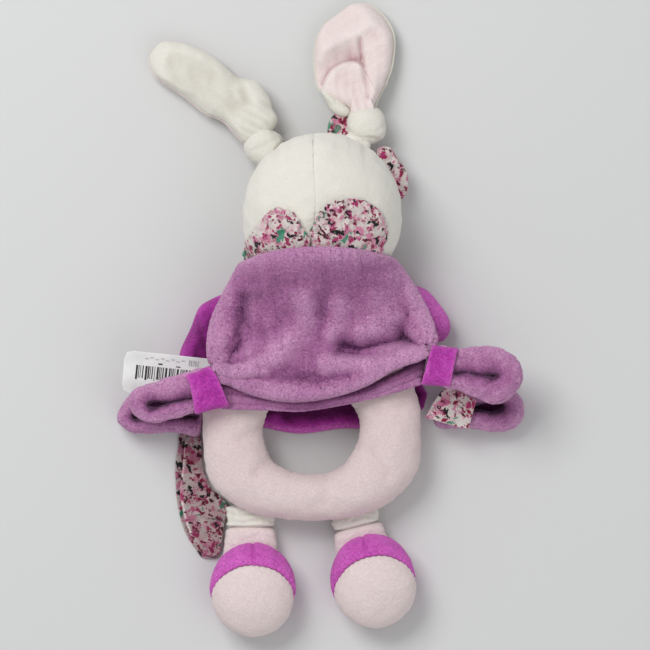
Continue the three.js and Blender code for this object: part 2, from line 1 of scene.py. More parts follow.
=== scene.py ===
"""Stuffed rabbit comforter with a grip ring, lying on its front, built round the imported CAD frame.

Shapes are worked out in millimetres in the CAD model's own frame: +X is the toy's right-hand side seen from
above, +Y runs from the feet to the ears, and +Z is up, out of the toy's back. Meshes are written in metres.
"""
import json
import math

import bmesh
import bpy
import numpy as np
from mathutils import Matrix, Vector


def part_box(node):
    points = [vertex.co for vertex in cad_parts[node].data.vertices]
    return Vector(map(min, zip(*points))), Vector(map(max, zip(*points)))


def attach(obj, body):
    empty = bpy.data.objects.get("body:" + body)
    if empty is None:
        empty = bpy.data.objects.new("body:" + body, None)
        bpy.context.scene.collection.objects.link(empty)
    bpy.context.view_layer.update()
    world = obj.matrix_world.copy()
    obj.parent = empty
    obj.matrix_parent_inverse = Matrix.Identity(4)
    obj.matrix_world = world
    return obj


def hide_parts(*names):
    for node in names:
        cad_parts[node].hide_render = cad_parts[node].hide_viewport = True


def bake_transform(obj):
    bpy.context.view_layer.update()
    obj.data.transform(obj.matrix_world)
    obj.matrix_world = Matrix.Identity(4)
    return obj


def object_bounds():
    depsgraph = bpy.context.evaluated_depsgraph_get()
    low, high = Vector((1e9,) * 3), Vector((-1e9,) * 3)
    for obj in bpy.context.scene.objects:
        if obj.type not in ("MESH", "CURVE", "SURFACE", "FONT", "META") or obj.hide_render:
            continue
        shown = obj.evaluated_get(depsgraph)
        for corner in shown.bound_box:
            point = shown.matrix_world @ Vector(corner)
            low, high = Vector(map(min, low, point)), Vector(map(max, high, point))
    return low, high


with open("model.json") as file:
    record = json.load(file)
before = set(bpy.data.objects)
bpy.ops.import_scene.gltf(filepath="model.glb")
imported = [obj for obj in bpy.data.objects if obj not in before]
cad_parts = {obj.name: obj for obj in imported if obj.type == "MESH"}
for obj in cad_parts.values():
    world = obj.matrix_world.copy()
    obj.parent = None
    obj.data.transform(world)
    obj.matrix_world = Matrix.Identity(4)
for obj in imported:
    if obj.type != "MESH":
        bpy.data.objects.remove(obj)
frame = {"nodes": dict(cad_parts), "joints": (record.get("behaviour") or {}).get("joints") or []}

CAD_LOW, CAD_HIGH = [list(corner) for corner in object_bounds()]
MM = 0.001
UP = np.array([0, 0, 1.0])


# ---------------------------------------------------------------- places in the CAD frame, in millimetres

def box(*nodes):
    """Lowest and highest corner of the nodes together."""
    corners = [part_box(node) for node in nodes]
    low = np.min([np.array(c[0]) for c in corners], axis=0) / MM
    high = np.max([np.array(c[1]) for c in corners], axis=0) / MM
    return low, high


def middle(*nodes):
    low, high = box(*nodes)
    return (low + high) / 2


def hinge(name):
    """Where a joint is, and the direction of its axis."""
    joint = next(j for j in frame["joints"] if j["name"] == name)
    return np.array(joint["pos_m"]) / MM, np.array(joint["axis"])


def within(node, fractions):
    """Places in the plane from fractions of a node's box."""
    low, high = box(node)
    return [(low[0] + u * (high[0] - low[0]), low[1] + v * (high[1] - low[1])) for u, v in fractions]


def turned(points, degrees, origin=(0, 0)):
    """Points in the plane, turned about their own origin and moved to another."""
    a = math.radians(degrees)
    points = np.asarray(points, float)
    x = points[:, 0] * math.cos(a) - points[:, 1] * math.sin(a) + origin[0]
    y = points[:, 0] * math.sin(a) + points[:, 1] * math.cos(a) + origin[1]
    return np.stack([x, y], axis=1)


# ---------------------------------------------------------------- curves, bumps and folds

def spline(points, count, closed=False):
    """A smooth curve through the points, at evenly spaced places along it."""
    p = np.asarray(points, float)
    n = len(p)
    spans = n if closed else n - 1
    dense = []
    for i in range(spans):
        if closed:
            a, b, c, d = p[(i - 1) % n], p[i], p[(i + 1) % n], p[(i + 2) % n]
        else:
            a, b, c, d = p[max(i - 1, 0)], p[i], p[i + 1], p[min(i + 2, n - 1)]
        t = np.linspace(0, 1, 24, endpoint=False)[:, None]
        dense.append(0.5 * (2 * b + (c - a) * t + (2 * a - 5 * b + 4 * c - d) * t ** 2
                            + (3 * b - a - 3 * c + d) * t ** 3))
    dense = np.concatenate(dense + [p[:1] if closed else p[-1:]])
    run = np.concatenate([[0], np.cumsum(np.linalg.norm(np.diff(dense, axis=0), axis=1))])
    at = np.linspace(0, run[-1], count, endpoint=not closed)
    return np.stack([np.interp(at, run, dense[:, k]) for k in range(p.shape[1])], axis=1)


def lumps(points, wave, seed, octaves=3):
    """Smooth uneven values from -1 to 1 at points in millimetres, with bumps about one wave long."""
    rng = np.random.default_rng(seed)
    total = np.zeros(len(points))
    weight, reach = 1.0, 0.0
    for _ in range(octaves):
        for _ in range(6):
            direction = rng.normal(size=3)
            direction /= np.linalg.norm(direction)
            turn = 2 * math.pi / (wave * rng.uniform(0.8, 1.5))
            total += weight * np.sin(points @ direction * turn + rng.uniform(0, 2 * math.pi))
        reach += weight * 6
        weight *= 0.5
        wave *= 0.47
    return total / reach * 2.2


def lumps_at(x, y, wave, seed, octaves=3):
    """The same uneven values over a grid of places in the plane."""
    flat = np.stack([x.ravel(), y.ravel(), np.zeros(x.size)], axis=1)
    return lumps(flat, wave, seed, octaves).reshape(x.shape)


def bell(distance, width):
    """1 at no distance, falling softly to almost nothing at twice the width."""
    return np.exp(-((distance / width) ** 2))


def signed_power(value, exponent):
    """The value's size to a power, with the value's sign: it squares or sharpens a circle."""
    return np.sign(value) * np.abs(value) ** exponent


def distance_to_line(x, y, line):
    """Distance in the plane from each place to a smooth line, the share along it, and 1 on its left or -1."""
    line = spline(line, 40)
    best = np.full(x.shape, 1e9)
    along = np.zeros(x.shape)
    side = np.ones(x.shape)
    for i, (a, b) in enumerate(zip(line[:-1], line[1:])):
        d = b - a
        t = np.clip(((x - a[0]) * d[0] + (y - a[1]) * d[1]) / (d @ d), 0, 1)
        gap = np.hypot(x - a[0] - t * d[0], y - a[1] - t * d[1])
        nearer = gap < best
        best = np.where(nearer, gap, best)
        along = np.where(nearer, (i + t) / (len(line) - 1), along)
        side = np.where(nearer, np.sign(d[0] * (y - a[1]) - d[1] * (x - a[0])), side)
    return best, along, side


def fold(x, y, line, height, width):
    """A soft ridge along a line, or a valley where height is negative."""
    gap, _, _ = distance_to_line(x, y, line)
    return height * bell(gap, width)


def ledge(x, y, line, drop, reach):
    """A step down on the left of a line, which eases back up over that reach."""
    gap, along, side = distance_to_line(x, y, line)
    step = np.clip((gap * side + 0.6) / 1.6, 0, 1)
    ends = np.clip(np.minimum(along, 1 - along) / 0.12, 0, 1)
    return -drop * step * step * (3 - 2 * step) * bell(gap, reach) * (0.3 + 0.7 * ends)


def dent(x, y, centre, height, radius):
    """A round bump at a place, or a hollow where height is negative."""
    return height * bell(np.hypot(x - centre[0], y - centre[1]), radius)


def gathers(x, y, centre, height, count, reach):
    """Small pleats that run out from a place where the cloth is drawn together."""
    away = np.hypot(x - centre[0], y - centre[1])
    turn = np.arctan2(y - centre[1], x - centre[0])
    wander = 1.3 * np.sin(3 * turn + away * 0.12)
    return height * np.sin(count * turn + wander) * np.exp(-away / reach) * (1 - np.exp(-away / 3))


def rounded(distance, radius):
    """Height of a quarter round, from 0 at the border to 1 where the distance reaches the radius."""
    t = np.clip(1 - distance / radius, 0, 1)
    return np.sqrt(1 - t ** 2)


# ---------------------------------------------------------------- meshes

def grid_faces(rows, columns, wrap_rows=False, wrap_columns=False, start=0):
    """Faces over a grid of points, joined up at its edges where it wraps."""
    faces = []
    for i in range(rows if wrap_rows else rows - 1):
        for j in range(columns if wrap_columns else columns - 1):
            i2, j2 = (i + 1) % rows, (j + 1) % columns
            faces.append([start + i * columns + j, start + i * columns + j2,
                          start + i2 * columns + j2, start + i2 * columns + j])
    return faces


def surface_of(mesh):
    """The places and normals of a mesh's vertices, and the two ends of each of its edges."""
    place = np.empty(len(mesh.vertices) * 3)
    mesh.vertices.foreach_get("co", place)
    normal = np.empty(len(mesh.vertices) * 3)
    mesh.vertices.foreach_get("normal", normal)
    ends = np.empty(len(mesh.edges) * 2, dtype=np.int32)
    mesh.edges.foreach_get("vertices", ends)
    return place.reshape(-1, 3), normal.reshape(-1, 3), ends[0::2], ends[1::2]


def roughen(mesh, fuzz):
    """Push each vertex in or out by up to fuzz metres, less where they crowd, and never below the floor."""
    place, normal, a, b = surface_of(mesh)
    length = np.linalg.norm(place[a] - place[b], axis=1)
    spacing = np.full(len(place), 1.0)
    np.minimum.at(spacing, a, length)
    np.minimum.at(spacing, b, length)
    push = np.random.default_rng(len(place)).uniform(-1, 1, len(place)) * np.minimum(fuzz, spacing / 3)
    place = place + normal * push[:, None]
    place[:, 2] = np.maximum(place[:, 2], 0)
    mesh.vertices.foreach_set("co", place.ravel())
    mesh.update()


def rise_and_level(mesh, passes):
    """How far each vertex stands above its smoothed surroundings, in millimetres, and how level it lies."""
    place, normal, a, b = surface_of(mesh)
    place = place / MM
    count = len(place)
    degree = np.maximum(np.bincount(a, minlength=count) + np.bincount(b, minlength=count), 1)[:, None]
    smooth = place.copy()
    for _ in range(passes):
        smooth = np.stack([np.bincount(a, smooth[b, k], count) + np.bincount(b, smooth[a, k], count)
                           for k in range(3)], axis=1) / degree
    return np.sum((place - smooth) * normal, axis=1), np.abs(normal[:, 2])


def piece(name, points, faces, stuff, nodes=(), body=None, blend=None, shell=0.0, fuzz=0.0,
          passes=40, tone_and_painted_light=0.0):
    """A finished piece from points in millimetres: welded, smooth, and moving with a body, or left in place
    where blend is given.
    Its painted light and tone, from 0 in hollows to 1 on ridges, paints shade into hollows and a highlight on
    ridges and steep sides; its last argument shifts it for each part, for the part's own tone and as painted
    shade and light."""
    material, slot = stuff
    mesh = bpy.data.meshes.new(name)
    mesh.from_pydata((np.asarray(points) * MM).tolist(), [], faces)
    painted_light_and_tone = mesh.attributes.new("painted_light_and_tone", "FLOAT", "POINT")
    painted_light_and_tone.data.foreach_set("value", np.broadcast_to(tone_and_painted_light, len(points)).astype(np.float32))
    work = bmesh.new()
    work.from_mesh(mesh)
    bmesh.ops.remove_doubles(work, verts=work.verts, dist=0.01 * MM)
    bmesh.ops.recalc_face_normals(work, faces=work.faces)
    if shell:
        bmesh.ops.solidify(work, geom=work.faces[:], thickness=shell * MM)
        bmesh.ops.recalc_face_normals(work, faces=work.faces)
    work.to_mesh(mesh)
    work.free()
    mesh.update()
    roughen(mesh, fuzz * MM)
    rise, level = rise_and_level(mesh, passes)
    painted_light_and_tone = mesh.attributes["painted_light_and_tone"]
    shift = np.empty(len(mesh.vertices), dtype=np.float32)
    painted_light_and_tone.data.foreach_get("value", shift)
    # Painted light: darker in hollows, lighter on ridges and on steep sides, where the pile would catch the
    # light.
    value = np.clip(0.5 + 0.30 * np.clip(rise, -2.0, 0.8) + 0.16 * (1 - level) + shift, 0, 1)
    painted_light_and_tone.data.foreach_set("value", value.astype(np.float32))
    for polygon in mesh.polygons:
        polygon.use_smooth = True
    mesh.materials.append(material)
    obj = bpy.data.objects.new(name, mesh)
    bpy.context.scene.collection.objects.link(obj)
    if nodes:
        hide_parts(*nodes)
    if blend:
        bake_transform(obj)
    else:
        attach(obj, body)
    return obj


def pillow_points(mid, up, down, rim, ripple=None):
    """Points and faces of a soft flat piece. mid is rings of points, from the middle out to the outline.
    It stands up and down from them, and is rounded over rim at the outline."""
    rings, around, _ = mid.shape
    edge = mid[-1][None]
    distance = np.linalg.norm((edge - mid)[..., :2], axis=2)
    height = rounded(distance, rim)
    top, low = mid.copy(), mid.copy()
    top[..., 2] += np.broadcast_to(up, height.shape) * height
    low[..., 2] -= np.broadcast_to(down, height.shape) * height
    if ripple is not None:
        top[..., 2] += ripple(top) * height
    points = np.concatenate([top.reshape(-1, 3), low.reshape(-1, 3)])
    faces = grid_faces(rings, around, wrap_columns=True)
    faces += [face[::-1] for face in grid_faces(rings, around, wrap_columns=True, start=rings * around)]
    return points, faces


def outline_rings(outline, height, count, around, centre=None):
    """Rings of points from the middle of a flat outline out to it, close together near the outline."""
    line = spline(outline, around, closed=True)
    centre = line.mean(axis=0) if centre is None else np.asarray(centre, float)
    steps = np.sin(np.linspace(0, math.pi / 2, count))[:, None, None]
    flat = centre + (line - centre)[None] * steps
    z = height(flat[..., 0], flat[..., 1]) if callable(height) else np.full(flat.shape[:2], float(height))
    return np.concatenate([flat, z[..., None]], axis=2)


def tube_points(path, half_width, half_height, around, square=2.3, side=None):
    """Points and faces of a soft closed tube along a path. Its width lies across the path, in the plane."""
    path = np.asarray(path, float)
    count = len(path)
    tangent = np.gradient(path, axis=0)
    tangent /= np.linalg.norm(tangent, axis=1)[:, None]
    across = np.cross(tangent, UP) if side is None else np.broadcast_to(side, path.shape).astype(float)
    across /= np.linalg.norm(across, axis=1)[:, None]
    lift = np.cross(across, tangent)
    wide = np.broadcast_to(half_width, (count,))[:, None, None]
    high = np.broadcast_to(half_height, (count,))[:, None, None]
    a = np.linspace(0, 2 * math.pi, around, endpoint=False)
    c = signed_power(np.cos(a), 2 / square)[None, :, None]
    s = signed_power(np.sin(a), 2 / square)[None, :, None]
    rings = path[:, None] + across[:, None] * c * wide + lift[:, None] * s * high
    points = np.concatenate([rings.reshape(-1, 3), path[:1], path[-1:]])
    faces = grid_faces(count, around, wrap_columns=True)
    first, last = count * around, count * around + 1
    for j in range(around):
        k = (j + 1) % around
        faces.append([first, k, j])
        faces.append([last, (count - 1) * around + j, (count - 1) * around + k])
    return points, faces


def off_path(points, path, around):
    """From the middle of a tube out to each of its points."""
    return points - np.concatenate([np.repeat(path, around, axis=0), path[:1], path[-1:]])


def tapered(count, ends):
    """Scale along a path that closes it off softly at both ends, over that share of the points."""
    t = np.linspace(0, 1, count)
    reach = np.minimum(np.minimum(t, 1 - t) / ends, 1)
    return np.sqrt(np.maximum(1 - (1 - reach) ** 2, 1e-4))


def ball_grid(polar, turn, pole, first, second):
    """Unit directions at an angle from a pole, turned about it from the first side towards the second."""
    return (np.cos(polar)[..., None] * pole + (np.sin(polar) * np.cos(turn))[..., None] * first
            + (np.sin(polar) * np.sin(turn))[..., None] * second)


def to_border(mid):
    """Distance of each point of a rectangular sheet from the nearest of its four sides."""
    gaps = [np.linalg.norm(mid - line, axis=2) for line in (mid[:1], mid[-1:], mid[:, :1], mid[:, -1:])]
    return np.min(gaps, axis=0)


def upward(mid):
    """Normals of a rectangular sheet, on the side that looks up."""
    normal = np.cross(np.gradient(mid, axis=1), np.gradient(mid, axis=0))
    normal /= np.maximum(np.linalg.norm(normal, axis=2)[..., None], 1e-9)
    return normal * np.where(normal[..., 2:] < 0, -1, 1)


def quilt(mid, half):
    """Points and faces of a closed sheet, standing off a grid of points by half its thickness each way."""
    rows, columns, _ = mid.shape
    normal = upward(mid)
    layers = [mid + normal * half[..., None], mid - normal * half[..., None]]
    points = np.concatenate([layer.reshape(-1, 3) for layer in layers])
    faces = grid_faces(rows, columns) + [f[::-1] for f in grid_faces(rows, columns, start=rows * columns)]
    return points, faces


# ---------------------------------------------------------------- materials

def new_material(name):
    """A material, its node tree and its shader."""
    material = bpy.data.materials.new(name)
    material.use_nodes = True
    return material, material.node_tree, material.node_tree.nodes["Principled BSDF"]


def add(tree, kind, inputs, **settings):
    """A node with its settings, and each of its inputs linked or set."""
    node = tree.nodes.new(kind)
    for key, value in settings.items():
        setattr(node, key, value)
    for key, value in inputs.items():
        if isinstance(value, bpy.types.NodeSocket):
            tree.links.new(value, node.inputs[key])
        else:
            node.inputs[key].default_value = value
    return node


def object_place(tree):
    return add(tree, "ShaderNodeTexCoord", {}).outputs["Object"]


def noise(tree, where, scale, detail=2.0, roughness=0.5, distortion=0.0, output="Fac"):
    return add(tree, "ShaderNodeTexNoise", {"Vector": where, "Scale": scale, "Detail": detail,
                                            "Roughness": roughness, "Distortion": distortion}).outputs[output]


def ramp(tree, value, stops, interpolation="LINEAR"):
    """A colour for each value, from stops of a position and a colour."""
    node = add(tree, "ShaderNodeValToRGB", {"Fac": value})
    node.color_ramp.interpolation = interpolation
    elements = node.color_ramp.elements
    while len(elements) < len(stops):
        elements.new(0.5)
    for element, (position, colour) in zip(elements, stops):
        element.position = position
        element.color = (*colour, 1)
    return node.outputs["Color"]


def mix(tree, factor, first, second, blend_type="MIX"):
    return add(tree, "ShaderNodeMix", {0: factor, 6: first, 7: second}, data_type="RGBA",
               blend_type=blend_type).outputs[2]


def math_node(tree, operation, a, b):
    return add(tree, "ShaderNodeMath", {0: a, 1: b}, operation=operation).outputs[0]


def vector_node(tree, operation, inputs):
    return add(tree, "ShaderNodeVectorMath", inputs, operation=operation).outputs[0]


def stripes(tree, where, scale, distortion=0.0, bands="X"):
    return add(tree, "ShaderNodeTexWave", {"Vector": where, "Scale": scale, "Distortion": distortion},
               bands_direction=bands).outputs["Fac"]


def finish(tree, shader, colour, height, bump_mm, strength=1.0, **surface):
    """Join a colour and a bump to the shader, and set its plain inputs, named with _ for a space."""
    tree.links.new(colour, shader.inputs["Base Color"])
    bump = add(tree, "ShaderNodeBump", {"Height": height, "Distance": bump_mm * MM, "Strength": strength})
    tree.links.new(bump.outputs["Normal"], shader.inputs["Normal"])
    for name, value in surface.items():
        shader.inputs[name.replace("_", " ")].default_value = value


def rgb(red, green, blue):
    """A colour given as it looks on screen, 0 to 255, in linear light."""
    return tuple(((c / 255 + 0.055) / 1.055) ** 2.4 if c > 10 else c / 3295 for c in (red, green, blue))


def painted_light_and_tone_of(tree):
    return add(tree, "ShaderNodeAttribute", {}, attribute_name="painted_light_and_tone").outputs["Fac"]


def pile_material(name, light, mid, dark, grain_mm, depth_mm, contrast, sheen, tint=(1, 1, 1), spread=1.0):
    """Velour or short plush: a painted highlight on ridges and rims, painted shade in hollows, random patches
    of tone and a fine curly grain.
    """
    material, tree, shader = new_material(name)
    where = object_place(tree)
    patches = noise(tree, where, 55, 2, 0.5, 0.3)
    curls = noise(tree, where, 1000 / (1.7 * grain_mm), 2.5, 0.55, 0.9)
    fine = noise(tree, where, 1000 / (0.7 * grain_mm), 2, 0.5, 0.4)
    shift = math_node(tree, "MULTIPLY", math_node(tree, "SUBTRACT", patches, 0.5), min(0.45, 2.5 * contrast))
    tone_and_painted_light = math_node(tree, "ADD", painted_light_and_tone_of(tree), shift)
    reach = 0.38 * spread
    # The dark colour is painted shade and the light one a painted highlight, picked by the painted light each
    # piece carries and shifted by random patches of tone.
    toned_and_shaded_colour = ramp(tree, tone_and_painted_light, [(0.5 - reach, dark), (0.5, mid), (0.5 + reach, light)])
    shade = (1 - contrast, 1 - 1.35 * contrast, 1 - contrast)
    bright = (1 + 0.5 * contrast, 1 + 0.8 * contrast, 1 + 0.6 * contrast)
    grain = math_node(tree, "ADD", math_node(tree, "MULTIPLY", curls, 0.6),
                      math_node(tree, "MULTIPLY", fine, 0.4))
    tips = ramp(tree, grain, [(0.38, shade), (0.50, (1, 1, 1)), (0.60, bright)])
    height = math_node(tree, "ADD", curls, math_node(tree, "MULTIPLY", fine, 0.45))
    finish(tree, shader, mix(tree, 1.0, toned_and_shaded_colour, tips, "MULTIPLY"), height, depth_mm, Roughness=0.95,
           Specular_IOR_Level=0.12, Sheen_Weight=sheen, Sheen_Roughness=0.5, Sheen_Tint=(*tint, 1))
    return material


def floral_material(name):
    """Printed cotton: crowded pink petals on off-white, with dark strokes and a few green leaves."""
    material, tree, shader = new_material(name)
    where = object_place(tree)
    wobble = noise(tree, where, 380, 3, 0.6, output="Color")
    shift = vector_node(tree, "SUBTRACT", {0: wobble, 1: (0.5, 0.5, 0.5)})
    shift = vector_node(tree, "SCALE", {0: shift, "Scale": 0.0060})
    warped = vector_node(tree, "ADD", {0: where, 1: shift})

    def laid(turn, size_mm):
        """Coordinates in which a motif of that size, turned in the plane, is one unit across."""
        return add(tree, "ShaderNodeMapping", {"Vector": warped, "Rotation": (0.0, 0.0, turn),
                                               "Scale": tuple(side * MM for side in size_mm)},
                   vector_type="TEXTURE").outputs["Vector"]

    def motifs(vector, share, reach, colours):
        """Scattered blobs over a share of the cells: their mask, and a colour for each from the list."""
        cells = add(tree, "ShaderNodeTexVoronoi", {"Vector": vector, "Scale": 1.0})
        split = add(tree, "ShaderNodeSeparateColor", {"Color": cells.outputs["Color"]})
        on = ramp(tree, split.outputs["Red"], [(share, (1, 1, 1)), (share + 0.01, (0, 0, 0))])
        blob = ramp(tree, cells.outputs["Distance"], [(reach, (1, 1, 1)), (reach + 0.14, (0, 0, 0))])
        stops = [(i / len(colours), colour) for i, colour in enumerate(colours)]
        return mix(tree, 1.0, on, blob, "MULTIPLY"), ramp(tree, split.outputs["Green"], stops, "CONSTANT")

    white, blush = rgb(238, 228, 222), rgb(236, 204, 206)
    colour = ramp(tree, noise(tree, where, 150, 2), [(0.46, white), (0.62, blush)])
    magenta, crimson, rose, wine = rgb(186, 52, 112), rgb(152, 22, 70), rgb(226, 146, 176), rgb(92, 14, 46)
    for turn, size_mm, share, reach, colours in (
            (0.3, (5.6, 3.6, 3.6), 0.60, 0.50, (rose, rgb(232, 172, 190), white, rose, rgb(214, 112, 152))),
            (1.2, (3.8, 2.2, 2.2), 0.48, 0.46, (rose, magenta, white, crimson, rose, white)),
            (-0.5, (2.8, 1.7, 1.7), 0.40, 0.44, (wine, white, magenta, crimson, white)),
            (2.1, (4.2, 2.4, 2.4), 0.16, 0.42, (crimson, magenta, wine)),
            (0.9, (9.5, 3.2, 3.2), 0.08, 0.42, (rgb(60, 146, 116), rgb(86, 160, 130))),
            (-0.2, (8.0, 2.8, 2.8), 0.09, 0.42, (rgb(18, 14, 20), rgb(26, 18, 26))),
            (1.9, (5.5, 2.5, 2.5), 0.07, 0.42, (rgb(20, 12, 20), rgb(20, 12, 20)))):
        mask, shades = motifs(laid(turn, size_mm), share, reach, colours)
        colour = mix(tree, mask, colour, shades)
    shade = ramp(tree, painted_light_and_tone_of(tree), [(0.05, (0.5, 0.42, 0.44)), (0.5, (1, 1, 1))])
    threads = math_node(tree, "ADD", stripes(tree, where, 900.0), stripes(tree, where, 900.0, bands="Y"))
    weave = math_node(tree, "MULTIPLY", threads, 0.06)
    height = math_node(tree, "ADD", weave, noise(tree, where, 210, 4, 0.6, 0.6))
    finish(tree, shader, mix(tree, 1.0, colour, shade, "MULTIPLY"), height, 2.2, 0.9, Roughness=0.8,
           Specular_IOR_Level=0.25, Sheen_Weight=0.15)
    return material


def thread_material(name, colour, dark, angle):
    """Satin stitch: fine parallel threads with a soft shine."""
    material, tree, shader = new_material(name)
    laid = add(tree, "ShaderNodeMapping", {"Vector": object_place(tree), "Rotation": (0, 0, angle)})
    strands = stripes(tree, laid.outputs["Vector"], 420.0, 1.2)
    finish(tree, shader, ramp(tree, strands, [(0.2, dark), (0.8, colour)]), strands, 0.25, Roughness=0.45,
           Sheen_Weight=0.2)
    return material


def satin_material(name, colour):
    """Woven label satin: smooth, faintly ribbed, with a low shine."""
    material, tree, shader = new_material(name)
    where = object_place(tree)
    cloudy = noise(tree, where, 90, 2)
    ribs = math_node(tree, "MULTIPLY", stripes(tree, where, 700.0, 0.4), 0.15)
    height = math_node(tree, "ADD", ribs, cloudy)
    finish(tree, shader, ramp(tree, cloudy, [(0.3, tuple(0.9 * c for c in colour)), (0.65, colour)]), height,
           0.5, 0.6, Roughness=0.42, Sheen_Weight=0.1)
    return material


def fibre_material(name):
    """Loose polyester filling: white, tangled and matt."""
    material, tree, shader = new_material(name)
    tangle = noise(tree, object_place(tree), 300, 8, 0.75, 2.5)
    colour = ramp(tree, tangle, [(0.35, rgb(214, 212, 206)), (0.6, rgb(246, 245, 241))])
    finish(tree, shader, colour, tangle, 2, Roughness=1.0, Sheen_Weight=0.4)
    return material


# Each stuff is a material and the name of a slot, which nothing here reads.
CREAM = (pile_material("cream_plush", rgb(234, 231, 222), rgb(226, 223, 212), rgb(186, 179, 164), 0.5, 0.16,
                       contrast=0.04, sheen=0.2, spread=1.5), "cream_plush")
PINK = (pile_material("pink_velour", rgb(233, 216, 214), rgb(222, 201, 201), rgb(170, 140, 144), 0.65, 0.42,
                      contrast=0.07, sheen=0.2, tint=(1, 0.95, 0.96), spread=1.4), "pink_plush")
MAUVE = (pile_material("mauve_velour", rgb(212, 154, 196), rgb(176, 110, 161), rgb(86, 32, 80), 0.62, 1.0,
                       contrast=0.30, sheen=0.25, tint=(1, 0.80, 0.95)), "mauve_velour")
PURPLE = (pile_material("purple_velour", rgb(226, 108, 206), rgb(192, 60, 174), rgb(92, 16, 80), 0.62, 1.0,
                        contrast=0.30, sheen=0.22, tint=(1, 0.70, 0.92)), "purple_velour")
LINING = (pile_material("ear_lining", rgb(242, 232, 227), rgb(231, 214, 211), rgb(186, 152, 156), 0.5, 0.18,
                        contrast=0.05, sheen=0.15, tint=(1, 0.95, 0.96), spread=1.2), "pink_plush")
FLORAL = (floral_material("floral_cotton"), "floral_cotton")
SATIN = (satin_material("label_satin", rgb(238, 238, 236)), "satin_label")
INK = (thread_material("label_ink", rgb(52, 52, 56), rgb(30, 30, 34), 0.0), "satin_label")
PALE_INK = (thread_material("label_pale_ink", rgb(196, 196, 198), rgb(180, 180, 184), 0.0), "satin_label")
EYE_THREAD = (thread_material("eye_thread", rgb(86, 66, 76), rgb(48, 36, 44), 0.4), "eye_thread")
NOSE_THREAD = (thread_material("nose_thread", rgb(206, 124, 148), rgb(160, 84, 110), 1.57), "nose_thread")
FIBRE = fibre_material("polyester_fibre")

for node, obj in frame["nodes"].items():
    if node.endswith("_stuffing"):
        obj.data.materials.clear()
        obj.data.materials.append(FIBRE)


# ---------------------------------------------------------------- head

HEAD_LOW, HEAD_HIGH = box("head_back_left", "head_back_right", "head_face")
HEAD = (HEAD_LOW + HEAD_HIGH) / 2
HEAD[2] = HEAD_HIGH[2] / 2
HEAD_RADII = np.array([(HEAD_HIGH[0] - HEAD_LOW[0]) / 2, (HEAD_HIGH[1] - HEAD_LOW[1]) / 2, HEAD[2]])
FACE_SEAM_Z = (box("head_face")[1][2] + box("head_back_left")[0][2]) / 2
BACK_SEAM_X = (box("head_back_left")[1][0] + box("head_back_right")[0][0]) / 2


def make_head():
    """Two back panels and a face panel over one shape, each turned in a little at its seams."""
    work = bmesh.new()
    bmesh.ops.create_uvsphere(work, u_segments=220, v_segments=130, radius=1.0)
    for vert in work.verts:
        vert.co = [vert.co[k] * HEAD_RADII[k] + HEAD[k] for k in range(3)]
    everything = work.verts[:] + work.edges[:] + work.faces[:]
    bmesh.ops.bisect_plane(work, geom=everything, plane_co=(0, 0, FACE_SEAM_Z), plane_no=(0, 0, 1), dist=0.01)
    upper = [v for v in work.verts if v.co.z >= FACE_SEAM_Z - 0.01]
    above = set(upper)
    geometry = upper + [e for e in work.edges if all(v in above for v in e.verts)]
    geometry += [f for f in work.faces if all(v in above for v in f.verts)]
    bmesh.ops.bisect_plane(work, geom=geometry, plane_co=(BACK_SEAM_X, 0, 0), plane_no=(1, 0, 0), dist=0.01)
    work.verts.ensure_lookup_table()
    points = np.array([v.co for v in work.verts])
    unit = (points - HEAD) / HEAD_RADII
    outward = unit / HEAD_RADII
    outward /= np.linalg.norm(outward, axis=1)[:, None]
    back = points[:, 2] > FACE_SEAM_Z - 0.5
    to_back_seam = np.where(back, np.abs(points[:, 0] - BACK_SEAM_X), 99)
    to_face_seam = np.abs(points[:, 2] - FACE_SEAM_Z)
    sink = 0.28 * bell(to_back_seam, 0.7) + 0.25 * bell(to_back_seam, 4.0)
    sink += 0.8 * bell(to_face_seam, 1.0) + 0.5 * bell(to_face_seam, 4)
    pucker = 0.12 * bell(to_back_seam, 3) * np.sin(points[:, 1] * 1.9 + lumps(points, 14, 5) * 3)
    swell = 0.8 * lumps(points, 46, 11) + 0.25 * lumps(points, 12, 12)
    neck = 0.8 * bell(points[:, 0] - 2, 24) * bell(points[:, 1] - 52, 15)
    hollow = dent(points[:, 0], points[:, 1], (-13, 64), 1.0, 13)
    points = points + outward * (swell + pucker - sink - (neck + hollow) * back)[:, None]
    points[:, 0] += 0.5 * bell(points[:, 1] - 88, 9) * back * np.sin((points[:, 0] - BACK_SEAM_X) * 0.9)
    points[:, 0] += 1.1 * bell(points[:, 1] - 57, 14) * bell(to_back_seam, 9) * back
    points[:, 2] = np.maximum(points[:, 2], 0.6)
    sides = {"head_back_left": [], "head_back_right": [], "head_face": []}
    for face in work.faces:
        centre = face.calc_center_median()
        if centre.z < FACE_SEAM_Z:
            key = "head_face"
        else:
            key = "head_back_left" if centre.x < BACK_SEAM_X else "head_back_right"
        sides[key].append([v.index for v in face.verts])
    work.free()
    for key, faces in sides.items():
        used = sorted({i for face in faces for i in face})
        renumber = {old: new for new, old in enumerate(used)}
        faces = [[renumber[i] for i in face] for face in faces]
        piece(key + "_panel", points[used], faces, CREAM, [key], "head", shell=1.1,
              fuzz=0.08)


def on_head(x, y, offset, under=True):
    """Height of the head's surface over a place in the plane, on its underside or its back."""
    wide, long, tall = HEAD_RADII + offset
    reach = 1 - ((x - HEAD[0]) / wide) ** 2 - ((y - HEAD[1]) / long) ** 2
    rise = tall * np.sqrt(np.maximum(reach, 0))
    return HEAD[2] - rise if under else HEAD[2] + rise


